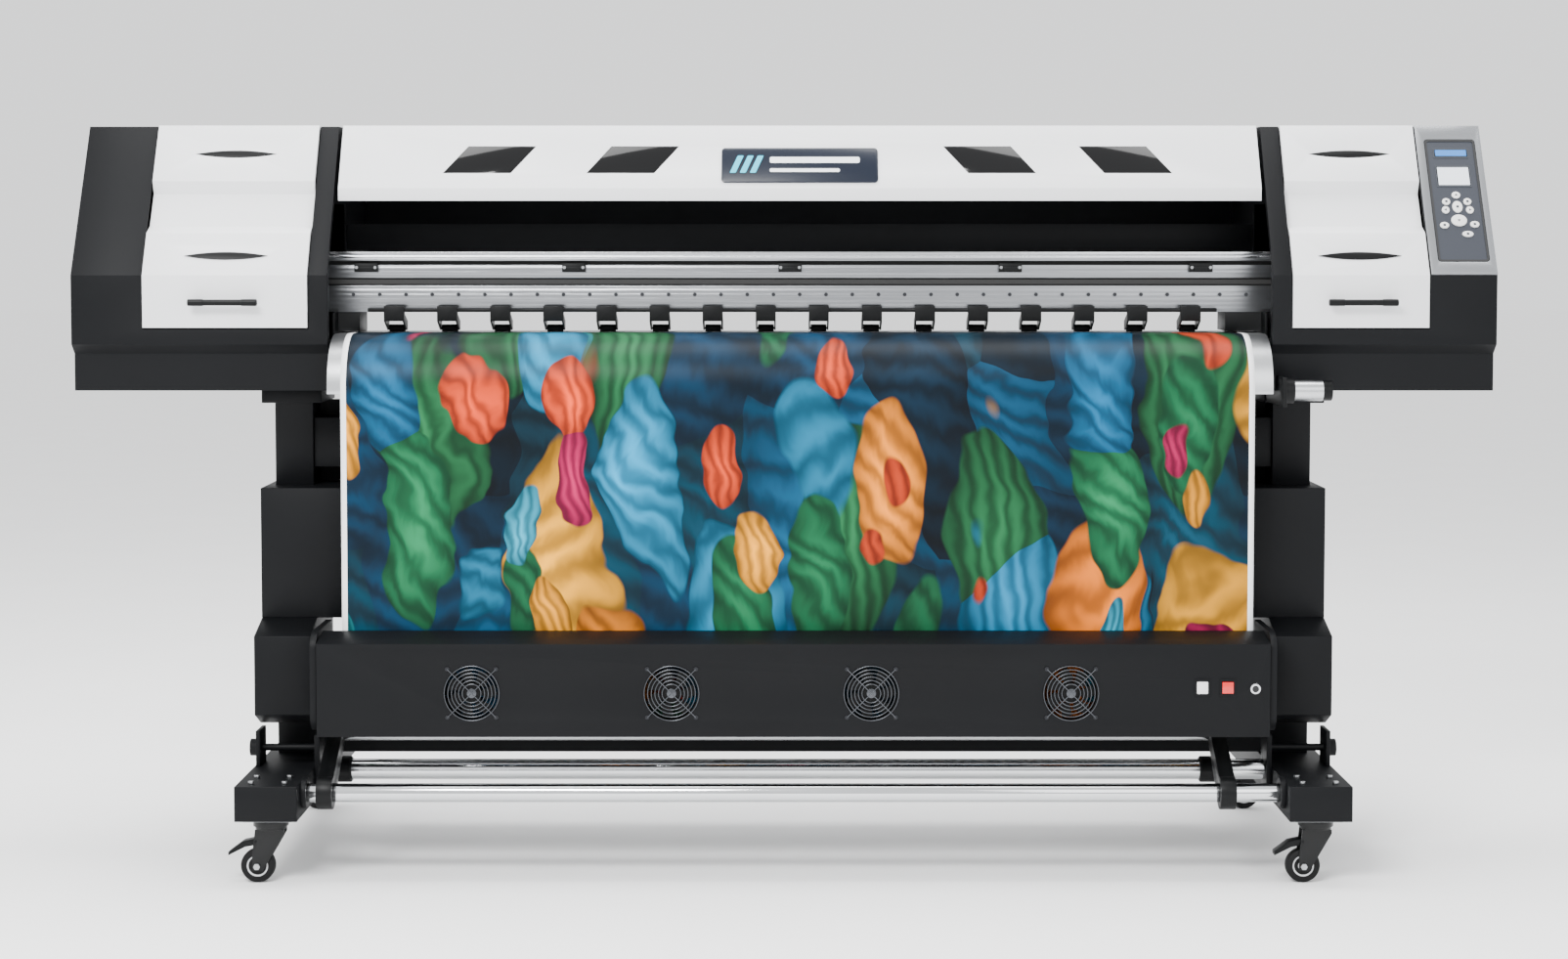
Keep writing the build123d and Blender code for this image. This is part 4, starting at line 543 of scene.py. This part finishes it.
FACE_FRONT = (pi / 2, 0, 0)
FACE_BACK = (-pi / 2, 0, 0)
SCREWS_ABOVE_BASE = 0.035
BEAM_SCREW_Z = BEAM_LOW[2] + SCREWS_ABOVE_BASE
BEAM_SCREWS = 35
SCREW_PITCH = 0.0525
middle = (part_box("left_casing")[1][0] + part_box("right_casing")[0][0]) / 2
points = [
    (middle + (i - (BEAM_SCREWS - 1) / 2) * SCREW_PITCH, BEAM_LOW[1] - 0.001, BEAM_SCREW_Z)
    for i in range(BEAM_SCREWS)
]
grown(
    "beam_screws", screw_tree, points, {"Head Radius": 0.0038, "Head Height": 0.003, "Facing": FACE_FRONT},
    dark_screw,
)
CLIPS_X = (-0.835, -0.420, 0.012, 0.452, 0.833)
CLIP_BELOW_TOP = 0.018
CLIP_SCREW_REACH = 0.0185
CLIP_STANDS_OUT = 0.0085
clip_z = BEAM_TOP_Z - CLIP_BELOW_TOP
points = [
    (x + side * CLIP_SCREW_REACH, BEAM_LOW[1] - CLIP_STANDS_OUT, clip_z)
    for x in CLIPS_X for side in (-1, 1)
]
grown(
    "clip_screws", screw_tree, points, {"Head Radius": 0.003, "Head Height": 0.0022, "Facing": FACE_FRONT},
    zinc_steel,
)
REAR_LOW, REAR_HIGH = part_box("rear_cover")
REAR_SCREW_INSET = 0.03
REAR_SCREW_GAPS = 8
REAR_ROWS = (REAR_LOW[2] + 0.02, TOP_Z - 0.058)
rear_run = REAR_HIGH[0] - REAR_LOW[0] - 2 * REAR_SCREW_INSET
points = [
    (REAR_LOW[0] + REAR_SCREW_INSET + i * rear_run / REAR_SCREW_GAPS, REAR_HIGH[1] + 0.0005, z)
    for i in range(REAR_SCREW_GAPS + 1) for z in REAR_ROWS
]
grown(
    "rear_cover_screws", screw_tree, points,
    {"Head Radius": 0.005, "Head Height": 0.003, "Facing": FACE_BACK},
    zinc_steel,
)

# ---- Print carriage: a moulded black shell that holds three heads close over the web.
# It parks inside the right cabinet and runs on the guide rail.
lay(
    "carriage_shell", soften(solids_of("carriage"), 0.002, segments=3), grip_black, "carriage",
    ["carriage"],
)

# ---- Platens, side plates and pinch feed: extruded aluminium shelves with bright end faces.
# Hooked black arms on one lift shaft press rubber wheels on a knurled steel feed roller.
tyre_rubber = finished("moulded_rubber_black", "0a0a0b", 0.65, 0.001, 0.00012, **{"Specular IOR Level": 0.2})
knurled_steel = finished("knurled_feed_steel", "a7a9ab", 0.38, 0.0009, 0.0003, metallic=1.0)
lay(
    "feed_platens", soften(solids_of("platens"), 0.0008, sharper_than=60), bright_aluminium,
    stands_for=["platens"],
)
lay(
    "side_blocks", soften(solids_of("side_plates"), 0.001), grip_black,
    stands_for=["side_plates"],
)
lay("feed_roller", solids_of("grit_roller"), knurled_steel, "grit_roller", ["grit_roller"])
lay(
    "pinch_arm_set", soften(solids_of("pinch_arms"), 0.0007), grip_black, "pinch_arms",
    ["pinch_arms"],
)
lay(
    "pinch_wheel_set", soften(solids_of("pinch_wheels"), 0.0009), tyre_rubber, "pinch_wheels",
    ["pinch_wheels"],
)

# ---- Printed web: gloss white vinyl, 0.6 mm thick here, hung from the front of the platen.
# Its ink stops short of both edges, and shows a plain abstract pattern of flowing leaf bands.
WEB_LOW, WEB_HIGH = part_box("media_web")
MARGIN = 0.011
PRINT_LOW_X = WEB_LOW[0] + MARGIN
PRINT_HIGH_X = WEB_HIGH[0] - MARGIN
vinyl, tree, place = new_material("printed_gloss_vinyl")
split = add(tree, "ShaderNodeSeparateXYZ", {"Vector": place})
warp = add(tree, "ShaderNodeTexNoise", {"Vector": place}, {"Scale": 2.4, "Detail": 3.0, "Distortion": 0.6})
shift = add(
    tree, "ShaderNodeVectorMath", {0: warp.outputs["Color"]}, {1: (0.28, 0.0, 0.28)}, operation="MULTIPLY",
)
moved = add(tree, "ShaderNodeVectorMath", {0: place, 1: shift.outputs[0]}, operation="ADD")
painted = None
# Each layer: turn, cells per metre, narrowing, how much of a cell its leaf fills, and its inks.
LAYERS = (
    (35, 5.0, 0.42, 0.62, ("041c2c", "06304a", "0a4a6b", "08384a")),
    (-40, 4.6, 0.45, 0.44, ("0e6f96", "0b8a93", "12455f", "1a5a35")),
    (62, 3.6, 0.50, 0.42, ("ea7a10", "d8412a", "f4a91f", "0f86b0")),
    (20, 5.5, 0.42, 0.40, ("0f86b0", "f08a18", "176b43", "0b5c84")),
    (-25, 6.5, 0.50, 0.30, ("b81a57", "f6a21c", "2aa3c0", "e0481f")),
)
for turn, scale, narrow, fill, inks in LAYERS:
    leaf_place = add(
        tree, "ShaderNodeMapping", {"Vector": moved.outputs[0]},
        {"Rotation": (0, radians(turn), 0), "Scale": (scale, 0, scale * narrow), "Location": (turn, 0, fill)},
    )
    leaf = add(tree, "ShaderNodeTexVoronoi", {"Vector": leaf_place.outputs[0]}, {"Scale": 1.0}, feature="F1")
    pick = add(tree, "ShaderNodeSeparateXYZ", {"Vector": leaf.outputs["Color"]})
    ink_ramp = add(tree, "ShaderNodeValToRGB", {"Fac": pick.outputs["X"]})
    ink_ramp.color_ramp.interpolation = "CONSTANT"
    for i, ink in enumerate(inks):
        stop = ink_ramp.color_ramp.elements[i] if i < 2 else ink_ramp.color_ramp.elements.new(i / len(inks))
        stop.position = i / len(inks)
        stop.color = linear(ink)
    veins = add(
        tree, "ShaderNodeTexWave", {"Vector": leaf_place.outputs[0]},
        {"Scale": 3.2, "Distortion": 2.6, "Detail": 2.0, "Detail Scale": 2.0}, bands_direction="DIAGONAL",
    )
    vein_tone = add(
        tree, "ShaderNodeMapRange", {"Value": veins.outputs["Fac"]}, {"To Min": 0.45, "To Max": 1.15},
    )
    rim_tone = add(
        tree, "ShaderNodeMapRange", {"Value": leaf.outputs["Distance"]},
        {"From Max": fill, "To Min": 1.25, "To Max": 0.3},
    )
    tone = add(
        tree, "ShaderNodeMath", {0: vein_tone.outputs[0], 1: rim_tone.outputs[0]}, operation="MULTIPLY",
    )
    layer = add(
        tree, "ShaderNodeVectorMath", {0: ink_ramp.outputs["Color"], "Scale": tone.outputs[0]},
        operation="SCALE",
    )
    if painted is None:
        painted = layer.outputs[0]
        continue
    mask = add(
        tree, "ShaderNodeMapRange", {"Value": leaf.outputs["Distance"]},
        {"From Min": fill * 0.96, "From Max": fill, "To Min": 1.0, "To Max": 0.0},
    )
    blend = add(tree, "ShaderNodeMix", data_type="RGBA")
    tree.links.new(mask.outputs[0], blend.inputs[0])
    tree.links.new(painted, blend.inputs[6])
    tree.links.new(layer.outputs[0], blend.inputs[7])
    painted = blend.outputs[2]
inside_low = add(tree, "ShaderNodeMath", {0: split.outputs["X"]}, {1: PRINT_LOW_X}, operation="GREATER_THAN")
inside_high = add(tree, "ShaderNodeMath", {0: split.outputs["X"]}, {1: PRINT_HIGH_X}, operation="LESS_THAN")
in_front = add(
    tree, "ShaderNodeMath", {0: split.outputs["Y"]}, {1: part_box("grit_roller")[0][1]}, operation="LESS_THAN",
)
across = add(
    tree, "ShaderNodeMath", {0: inside_low.outputs[0], 1: inside_high.outputs[0]}, operation="MULTIPLY",
)
printed = add(tree, "ShaderNodeMath", {0: across.outputs[0], 1: in_front.outputs[0]}, operation="MULTIPLY")
colour = add(tree, "ShaderNodeMix", data_type="RGBA")
tree.links.new(printed.outputs[0], colour.inputs[0])
tree.links.new(painted, colour.inputs[7])
colour.inputs[6].default_value = linear("f0f1f2")
gloss = add(tree, "ShaderNodeMapRange", {"Value": warp.outputs["Fac"]}, {"To Min": 0.4, "To Max": 0.5})
deep = add(tree, "ShaderNodeTexNoise", {"Vector": place}, {"Scale": 500.0, "Detail": 2.0})
grain = add(tree, "ShaderNodeBump", {"Height": deep.outputs["Fac"]}, {"Strength": 0.2, "Distance": 0.00005})
shader = add(
    tree, "ShaderNodeBsdfPrincipled",
    {
        "Base Color": colour.outputs[2], "Roughness": gloss.outputs["Result"],
        "Normal": grain.outputs["Normal"],
    },
    {"Specular IOR Level": 0.12},
)
add(tree, "ShaderNodeOutputMaterial", {"Surface": shader.outputs["BSDF"]})

WEB_THICKNESS = 0.0006
ROLL_LOW, ROLL_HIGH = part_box("supply_roll")
FRONT_RADIUS = 0.1059
REAR_RADIUS = 0.0909
COLUMNS = 160
ARC_STEPS = 20
front_centre = (WEB_LOW[1] + FRONT_RADIUS, WEB_HIGH[2] - FRONT_RADIUS)
rear_centre = (WEB_HIGH[1] - REAR_RADIUS, WEB_HIGH[2] - REAR_RADIUS)
run = [(WEB_LOW[1], WEB_LOW[2] + (front_centre[1] - WEB_LOW[2]) * i / 30) for i in range(30)]
run += [
    (
        front_centre[0] - FRONT_RADIUS * cos(i * pi / 2 / ARC_STEPS),
        front_centre[1] + FRONT_RADIUS * sin(i * pi / 2 / ARC_STEPS),
    )
    for i in range(ARC_STEPS + 1)
]
run += [
    (front_centre[0] + (rear_centre[0] - front_centre[0]) * i / 8, WEB_HIGH[2]) for i in range(1, 8)
]
run += [
    (
        rear_centre[0] + REAR_RADIUS * sin(i * pi / 2 / ARC_STEPS),
        rear_centre[1] + REAR_RADIUS * cos(i * pi / 2 / ARC_STEPS),
    )
    for i in range(ARC_STEPS + 1)
]
REAR_END_Z = (ROLL_LOW[2] + ROLL_HIGH[2]) / 2
run += [(WEB_HIGH[1], rear_centre[1] + (REAR_END_Z - rear_centre[1]) * i / 30) for i in range(1, 31)]
bm = bmesh.new()
strips = []
for y, z in run:
    row = []
    for i in range(COLUMNS + 1):
        x = WEB_LOW[0] + (WEB_HIGH[0] - WEB_LOW[0]) * i / COLUMNS
        row.append(bm.verts.new((x, y, z)))
    strips.append(row)
for near, far in zip(strips, strips[1:]):
    for i in range(COLUMNS):
        bm.faces.new((near[i], near[i + 1], far[i + 1], far[i]))
bmesh.ops.recalc_face_normals(bm, faces=bm.faces)
web = lay("vinyl_web", bm, vinyl, stands_for=["media_web"])
wall = web.modifiers.new("thickness", "SOLIDIFY")
wall.thickness = WEB_THICKNESS
wall.offset = -1


# ---- Supply roll: wound white vinyl on a plated steel shaft, behind the machine.
# The wound edges show as fine rings on its end faces.
plated_shaft = finished("plated_steel_shaft", "c4c6c8", 0.16, 0.001, 0.00002, metallic=1.0, stretch=ALONG_X)
vinyl_edge, tree, place = new_material("wound_white_vinyl")
from_axis = add(
    tree, "ShaderNodeMapping", {"Vector": place},
    {"Location": (0, -(ROLL_LOW[1] + ROLL_HIGH[1]) / 2, -REAR_END_Z), "Scale": (0, 1, 1)},
)
winding = add(
    tree, "ShaderNodeTexWave", {"Vector": from_axis.outputs[0]}, {"Scale": 120.0, "Distortion": 0.6},
    wave_type="RINGS", rings_direction="X",
)
edge_tone = add(tree, "ShaderNodeValToRGB", {"Fac": winding.outputs["Fac"]})
edge_tone.color_ramp.elements[0].color = linear("d3d4d5")
edge_tone.color_ramp.elements[1].color = linear("efeff0")
edge_bump = add(
    tree, "ShaderNodeBump", {"Height": winding.outputs["Fac"]}, {"Strength": 0.25, "Distance": 0.0003},
)
shader = add(
    tree, "ShaderNodeBsdfPrincipled",
    {"Base Color": edge_tone.outputs["Color"], "Normal": edge_bump.outputs["Normal"]},
    {"Roughness": 0.42},
)
add(tree, "ShaderNodeOutputMaterial", {"Surface": shader.outputs["BSDF"]})
roll_y = (ROLL_LOW[1] + ROLL_HIGH[1]) / 2
roll_radius = (ROLL_HIGH[1] - ROLL_LOW[1]) / 2
TUBE_RADIUS = 0.020
JOURNAL_RADIUS = 0.010
EDGE = 0.0015
SUPPLY_JOURNAL = 0.019
bm = turned(bmesh.new(), [
    (WEB_LOW[0], TUBE_RADIUS + 0.0003), (WEB_LOW[0], roll_radius - EDGE), (WEB_LOW[0] + EDGE, roll_radius),
    (WEB_HIGH[0] - EDGE, roll_radius), (WEB_HIGH[0], roll_radius - EDGE), (WEB_HIGH[0], TUBE_RADIUS + 0.0003),
], roll_y, REAR_END_Z, segments=72)
lay("vinyl_roll", bm, vinyl_edge, "supply_roll", ["supply_roll"])
bm = turned(bmesh.new(), [
    (ROLL_LOW[0], JOURNAL_RADIUS - EDGE), (ROLL_LOW[0] + EDGE, JOURNAL_RADIUS),
    (ROLL_LOW[0] + SUPPLY_JOURNAL, JOURNAL_RADIUS),
    (ROLL_LOW[0] + SUPPLY_JOURNAL, TUBE_RADIUS), (ROLL_HIGH[0] - SUPPLY_JOURNAL, TUBE_RADIUS),
    (ROLL_HIGH[0] - SUPPLY_JOURNAL, JOURNAL_RADIUS),
    (ROLL_HIGH[0] - EDGE, JOURNAL_RADIUS), (ROLL_HIGH[0], JOURNAL_RADIUS - EDGE),
], roll_y, REAR_END_Z)
lay("supply_shaft", bm, plated_shaft, "supply_roll", ["supply_roll"])

# ---- Stand: welded steel columns, stretchers and foot beams, with folded covers on the legs.
# All of it is powder-coated black, and the castor bolts' heads stand on the foot beams.
for node in ("stand_frame", "feet", "leg_covers", "roll_brackets"):
    lay(
        f"{node}_steel", soften(solids_of(node), SHEET_FOLD), powder_black,
        stands_for=[node],
    )

# ---- Dryer box: a folded black duct with four fans, two switches and a jack on its front.
# A chromed ring fixes the jack beside the push button and the red rocker.
gloss_white = finished("moulded_switch_white", "e6e6e4", 0.3, 0.001, 0.00003, coat=0.3)
lit_red = finished("translucent_rocker_red", "d3170f", 0.25, 0.001, 0.00003, coat=0.5)
chromed = finished("chromed_brass_ring", "d4d6d8", 0.12, 0.001, 0.00002, metallic=1.0)
lay(
    "dryer_box", soften(solids_of("dryer_case"), SHEET_FOLD), powder_black,
    stands_for=["dryer_case"],
)
GUARD_EAR_THICKNESS = 0.002
DRYER_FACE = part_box("fan_frames")[0][1] + GUARD_EAR_THICKNESS
ROCKER_LOW, ROCKER_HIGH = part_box("rocker_switch")
SWITCH_Z = (ROCKER_LOW[2] + ROCKER_HIGH[2]) / 2
lay(
    "power_rocker", soften(solids_of("rocker_switch"), 0.001), lit_red, "rocker_switch",
    ["rocker_switch"],
)
lay(
    "test_button", soften(solids_of("push_switch"), 0.0012), gloss_white, "push_switch",
    ["push_switch"],
)
rocker_x = (ROCKER_LOW[0] + ROCKER_HIGH[0]) / 2
JACK_FROM_ROCKER = 0.053
JACK_X = rocker_x + JACK_FROM_ROCKER
JACK_Z = SWITCH_Z - 0.002
bm = turned(bmesh.new(), [
    (DRYER_FACE, 0.0110), (DRYER_FACE - 0.003, 0.0110), (DRYER_FACE - 0.0045, 0.0095),
    (DRYER_FACE - 0.0045, 0.0065),
    (DRYER_FACE - 0.0025, 0.0055),
], 0, JACK_Z, "Y", JACK_X)
lay("jack_ring", bm, chromed)
bm = turned(bmesh.new(), [
    (DRYER_FACE - 0.002, 0.0050), (DRYER_FACE - 0.0038, 0.0056), (DRYER_FACE - 0.0038, 0.0020),
    (DRYER_FACE - 0.003, 0.0018),
], 0, JACK_Z, "Y", JACK_X, 32)
lay("jack_socket", bm, seal_black)

# ---- Fans: moulded frames and rotors behind round steel-wire guards.
# Each guard is rings of black wire welded to two crossed wires, screwed down at four ears.
fan_black = finished("moulded_nylon_black", "060707", 0.5, 0.0008, 0.0001, **{"Specular IOR Level": 0.15})
wire_black = finished("coated_guard_wire", "4a4c50", 0.28, 0.001, 0.00004, metallic=0.85)
oxide_black = finished("black_oxide_screw", "26272a", 0.35, 0.0006, 0.00003, metallic=0.8)
frames = solids_of("fan_frames", lambda low, high: high[1] > DRYER_FACE + 0.010)
lay("fan_housings", frames, fan_black, stands_for=["fan_frames"])
for number in range(1, 5):
    node = f"fan_rotor_{number}"
    lay(f"fan_blades_{number}", soften(solids_of(node), 0.0005), fan_black, node, [node])

guard_tree, given = node_group("wire_guards", [
    ("Smallest Ring", "NodeSocketFloat"), ("Ring Step", "NodeSocketFloat"), ("Rings", "NodeSocketInt"),
    ("Wire Radius", "NodeSocketFloat"), ("Arm Length", "NodeSocketFloat"), ("Finish", "NodeSocketMaterial"),
])
ladder = add(guard_tree, "GeometryNodeMeshLine", {"Count": given.outputs["Rings"]}, mode="OFFSET")
ladder.inputs["Offset"].default_value = (0, 0, 0)
step_index = add(guard_tree, "GeometryNodeInputIndex")
grow_by = add(
    guard_tree, "ShaderNodeMath",
    {0: step_index.outputs[0], 1: given.outputs["Ring Step"], 2: given.outputs["Smallest Ring"]},
    operation="MULTIPLY_ADD",
)
unit_ring = add(guard_tree, "GeometryNodeCurvePrimitiveCircle", None, {"Resolution": 40, "Radius": 1.0})
sized = add(
    guard_tree, "ShaderNodeCombineXYZ", {"X": grow_by.outputs[0], "Y": grow_by.outputs[0]}, {"Z": 1.0},
)
rings = add(
    guard_tree, "GeometryNodeInstanceOnPoints",
    {"Points": ladder.outputs["Mesh"], "Instance": unit_ring.outputs["Curve"], "Scale": sized.outputs[0]},
)
ring_curves = add(guard_tree, "GeometryNodeRealizeInstances", {"Geometry": rings.outputs["Instances"]})
arm_end = add(
    guard_tree, "ShaderNodeCombineXYZ", {"X": given.outputs["Arm Length"], "Z": given.outputs["Wire Radius"]},
)
arm_start = add(
    guard_tree, "ShaderNodeVectorMath", {0: arm_end.outputs[0]}, {1: (-1, 1, 1)}, operation="MULTIPLY",
)
arm = add(
    guard_tree, "GeometryNodeCurvePrimitiveLine", {"Start": arm_start.outputs[0], "End": arm_end.outputs[0]},
)
turned_arms = [
    add(guard_tree, "GeometryNodeTransform", {"Geometry": arm.outputs["Curve"]}, {"Rotation": (0, 0, angle)})
    for angle in (pi / 4, -pi / 4)
]
wires = add(guard_tree, "GeometryNodeJoinGeometry")
for source in [ring_curves] + turned_arms:
    guard_tree.links.new(source.outputs[0], wires.inputs[0])
section = add(
    guard_tree, "GeometryNodeCurvePrimitiveCircle", {"Radius": given.outputs["Wire Radius"]},
    {"Resolution": 8},
)
guard = add(
    guard_tree, "GeometryNodeCurveToMesh",
    {"Curve": wires.outputs[0], "Profile Curve": section.outputs["Curve"]}, {"Fill Caps": True},
)
upright = add(
    guard_tree, "GeometryNodeTransform", {"Geometry": guard.outputs["Mesh"]}, {"Rotation": FACE_FRONT},
)
placed = add(
    guard_tree, "GeometryNodeInstanceOnPoints",
    {"Points": given.outputs["Geometry"], "Instance": upright.outputs["Geometry"]},
)
solid = add(guard_tree, "GeometryNodeRealizeInstances", {"Geometry": placed.outputs["Instances"]})
dressed = add(
    guard_tree, "GeometryNodeSetMaterial",
    {"Geometry": solid.outputs["Geometry"], "Material": given.outputs["Finish"]},
)
add(guard_tree, "NodeGroupOutput", {"Geometry": dressed.outputs["Geometry"]})

FAN_BOXES = [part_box(f"fan_rotor_{number}") for number in range(1, 5)]
FAN_PITCH = 0.385
fans_middle = sum((low[0] + high[0]) / 2 for low, high in FAN_BOXES) / 4
fan_xs = [fans_middle + (i - 1.5) * FAN_PITCH for i in range(4)]
FAN_Z = 0.368
WIRE_RADIUS = 0.0010
grown(
    "fan_guards", guard_tree, [(x, DRYER_FACE - WIRE_RADIUS, FAN_Z) for x in fan_xs],
    {
        "Smallest Ring": 0.018, "Ring Step": 0.007, "Rings": 6,
        "Wire Radius": WIRE_RADIUS, "Arm Length": 0.0665,
    },
    wire_black, stands_for=["fan_frames"],
)
EAR = 0.047
points = [
    (x + sx * EAR, DRYER_FACE - 0.0008, FAN_Z + sz * EAR)
    for x in fan_xs for sx in (-1, 1) for sz in (-1, 1)
]
grown(
    "guard_screws", screw_tree, points, {"Head Radius": 0.0042, "Head Height": 0.0024, "Facing": FACE_FRONT},
    oxide_black,
)
bm = bmesh.new()
for x in fan_xs:
    turned(bm, [
        (DRYER_FACE, 0.0005), (DRYER_FACE, 0.009), (DRYER_FACE - 0.0015, 0.009), (DRYER_FACE - 0.0019, 0.008),
        (DRYER_FACE - 0.0019, 0.0005),
    ], 0, FAN_Z, "Y", x, 32)
lay("guard_centres", bm, wire_black)

# ---- Take-up shaft and dancer bars: polished steel tubes between black moulded hubs and arms.
# The finish is drawn and polished along the tube.
polished_tube = finished(
    "polished_steel_tube", "d0d2d4", 0.14, 0.0016, 0.00003, metallic=1.0, stretch=ALONG_X,
)
TAKE_LOW, TAKE_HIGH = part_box("takeup_roller")
take_y = (TAKE_LOW[1] + TAKE_HIGH[1]) / 2
take_z = (TAKE_LOW[2] + TAKE_HIGH[2]) / 2
SHOULDER = 0.0115
bm = turned(bmesh.new(), [
    (TAKE_LOW[0], JOURNAL_RADIUS - EDGE), (TAKE_LOW[0] + EDGE, JOURNAL_RADIUS),
    (TAKE_LOW[0] + SHOULDER, JOURNAL_RADIUS),
    (TAKE_LOW[0] + SHOULDER, TUBE_RADIUS), (TAKE_HIGH[0] - SHOULDER, TUBE_RADIUS),
    (TAKE_HIGH[0] - SHOULDER, JOURNAL_RADIUS),
    (TAKE_HIGH[0] - EDGE, JOURNAL_RADIUS), (TAKE_HIGH[0], JOURNAL_RADIUS - EDGE),
], take_y, take_z)
lay("takeup_tube", bm, polished_tube, "takeup_roller", ["takeup_roller"])
HUB_RADIUS = 0.026
HUB_WIDTH = 0.044
LEFT_HUB_INSET = 0.0265
RIGHT_HUB_INSET = 0.0955
bm = bmesh.new()
for hub_low in (TAKE_LOW[0] + LEFT_HUB_INSET, TAKE_HIGH[0] - RIGHT_HUB_INSET - HUB_WIDTH):
    turned(bm, [
        (hub_low, TUBE_RADIUS + 0.0002), (hub_low, HUB_RADIUS - 0.003), (hub_low + 0.003, HUB_RADIUS),
        (hub_low + HUB_WIDTH - 0.003, HUB_RADIUS), (hub_low + HUB_WIDTH, HUB_RADIUS - 0.003),
        (hub_low + HUB_WIDTH, TUBE_RADIUS + 0.0002),
    ], take_y, take_z)
lay("takeup_hubs", bm, grip_black, "takeup_roller", ["takeup_roller"])
lay(
    "dancer_bars", soften(solids_of("dancer_tubes"), 0.001), polished_tube, "dancer",
    ["dancer_tubes"],
)
lay(
    "dancer_levers", soften(solids_of("dancer_arms"), 0.0015), grip_black, "dancer",
    ["dancer_arms"],
)

# ---- Castors: pressed black forks on ball races, with rubber tyres on grey nylon centres.
# A hex bolt holds each wheel, and the front pair has moulded brake pedals.
castor_black = finished(
    "enamelled_steel_black", "0b0c0d", 0.34, 0.002, 0.0001, **{"Specular IOR Level": 0.25},
)
FORK_CHEEK_OUT = 0.005
BOLT_RADIUS = 0.0065
BOLT_HEIGHT = 0.004
BOLT_SIDES = 6
WHEEL_SEGMENTS = 56
nylon_grey = finished("moulded_nylon_grey", "c9cacc", 0.4, 0.001, 0.00006)
lay(
    "castor_plates_and_bolts", soften(solids_of("castor_plates"), 0.0006), zinc_steel,
    stands_for=["castor_plates"],
)
for corner in ("front_left", "front_right", "rear_left", "rear_right"):
    fork = f"castor_fork_{corner}"
    wheel = f"castor_wheel_{corner}"
    lay(f"{corner}_fork", soften(solids_of(fork), 0.0009), castor_black, fork, [fork])
    low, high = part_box(wheel)
    x, z = (low[0] + high[0]) / 2, (low[2] + high[2]) / 2
    radius = (high[2] - low[2]) / 2
    near, far = low[1], high[1]
    tyre = [
        (near + 0.002, radius * 0.60), (near, radius * 0.64), (near, radius - 0.005),
        (near + 0.002, radius - 0.0015),
        (near + 0.006, radius), (far - 0.006, radius), (far - 0.002, radius - 0.0015), (far, radius - 0.005),
        (far, radius * 0.64), (far - 0.002, radius * 0.60),
    ]
    lay(
        f"{corner}_tyre", turned(bmesh.new(), tyre, 0, z, "Y", x, WHEEL_SEGMENTS), tyre_rubber, wheel,
        [wheel],
    )
    centre = [
        (near + 0.0005, 0.0042), (near + 0.0005, 0.009), (near + 0.003, 0.0105),
        (near + 0.003, radius * 0.50),
        (near + 0.0010, radius * 0.56), (near + 0.0010, radius * 0.62), (far - 0.0010, radius * 0.62),
        (far - 0.0010, radius * 0.56), (far - 0.003, radius * 0.50), (far - 0.003, 0.0105),
        (far - 0.0005, 0.009),
        (far - 0.0005, 0.0042),
    ]
    lay(
        f"{corner}_wheel_centre", turned(bmesh.new(), centre, 0, z, "Y", x, WHEEL_SEGMENTS), nylon_grey,
        wheel, [wheel],
    )
    bm = bmesh.new()
    for face, way in ((near - FORK_CHEEK_OUT, -1), (far + FORK_CHEEK_OUT, 1)):
        turned(bm, [
            (face, 0.0005), (face, BOLT_RADIUS),
            (face + way * BOLT_HEIGHT, BOLT_RADIUS), (face + way * BOLT_HEIGHT, 0.0005),
        ], 0, z, "Y", x, BOLT_SIDES)
    lay(f"{corner}_axle_bolt", bm, zinc_steel, fork)
    if corner.startswith("front"):
        pedal = f"brake_pedal_{corner}"
        lay(f"{corner}_pedal", soften(solids_of(pedal), 0.001), grip_black, pedal, [pedal])

# ---- Feed motors: two turned aluminium cans with black end caps, under the platen and in the dryer box.
# The outer one is flanged, and held by a black bracket at the end of the platen.
END_CAP = 0.018
CAN_STANDS_PROUD = 0.0003
motor_can = finished("turned_motor_can", "c0c2c4", 0.28, 0.0012, 0.00006, metallic=1.0)
lay(
    "motor_brackets", soften(solids_of("gear_motors"), 0.001), grip_black,
    stands_for=["gear_motors"],
)
cans = bmesh.new()
OUTER_CAN = 0.056
INNER_CAN = 0.044
for on_right, can_length in ((True, OUTER_CAN), (False, INNER_CAN)):
    motor = solids_of("gear_motors", keep=lambda low, high: (low[0] > 0) == on_right)
    end = max(v.co.x for v in motor.verts)
    rim = [v.co.copy() for v in motor.verts if v.co.x > end - 1e-4]
    motor.free()
    y, z = [(min(v[i] for v in rim) + max(v[i] for v in rim)) / 2 for i in (1, 2)]
    skin = max(v[2] for v in rim) - z
    near, far = end - END_CAP - can_length, end - END_CAP
    turned(cans, [(near, skin + CAN_STANDS_PROUD), (far, skin + CAN_STANDS_PROUD)], y, z)
lay("motor_cans", cans, motor_can, flat_angle=60)

# ---- Ink station: a moulded capping tray under the parked carriage, and four ink bottles.
# The bottles are blow-moulded polythene, and stand on the floor of the right cabinet.
BOTTLE_WIDEST = 0.1
bottle_white = finished("blow_moulded_polythene", "c9ccd0", 0.45, 0.003, 0.00015)
tray = solids_of("ink_station", keep=lambda low, high: high[0] - low[0] > BOTTLE_WIDEST)
lay("capping_tray", soften(tray, 0.002), grip_black, stands_for=["ink_station"])
bottles = solids_of("ink_station", keep=lambda low, high: high[0] - low[0] <= BOTTLE_WIDEST)
lay(
    "ink_bottles", soften(bottles, 0.004, segments=3), bottle_white,
    stands_for=["ink_station"],
)
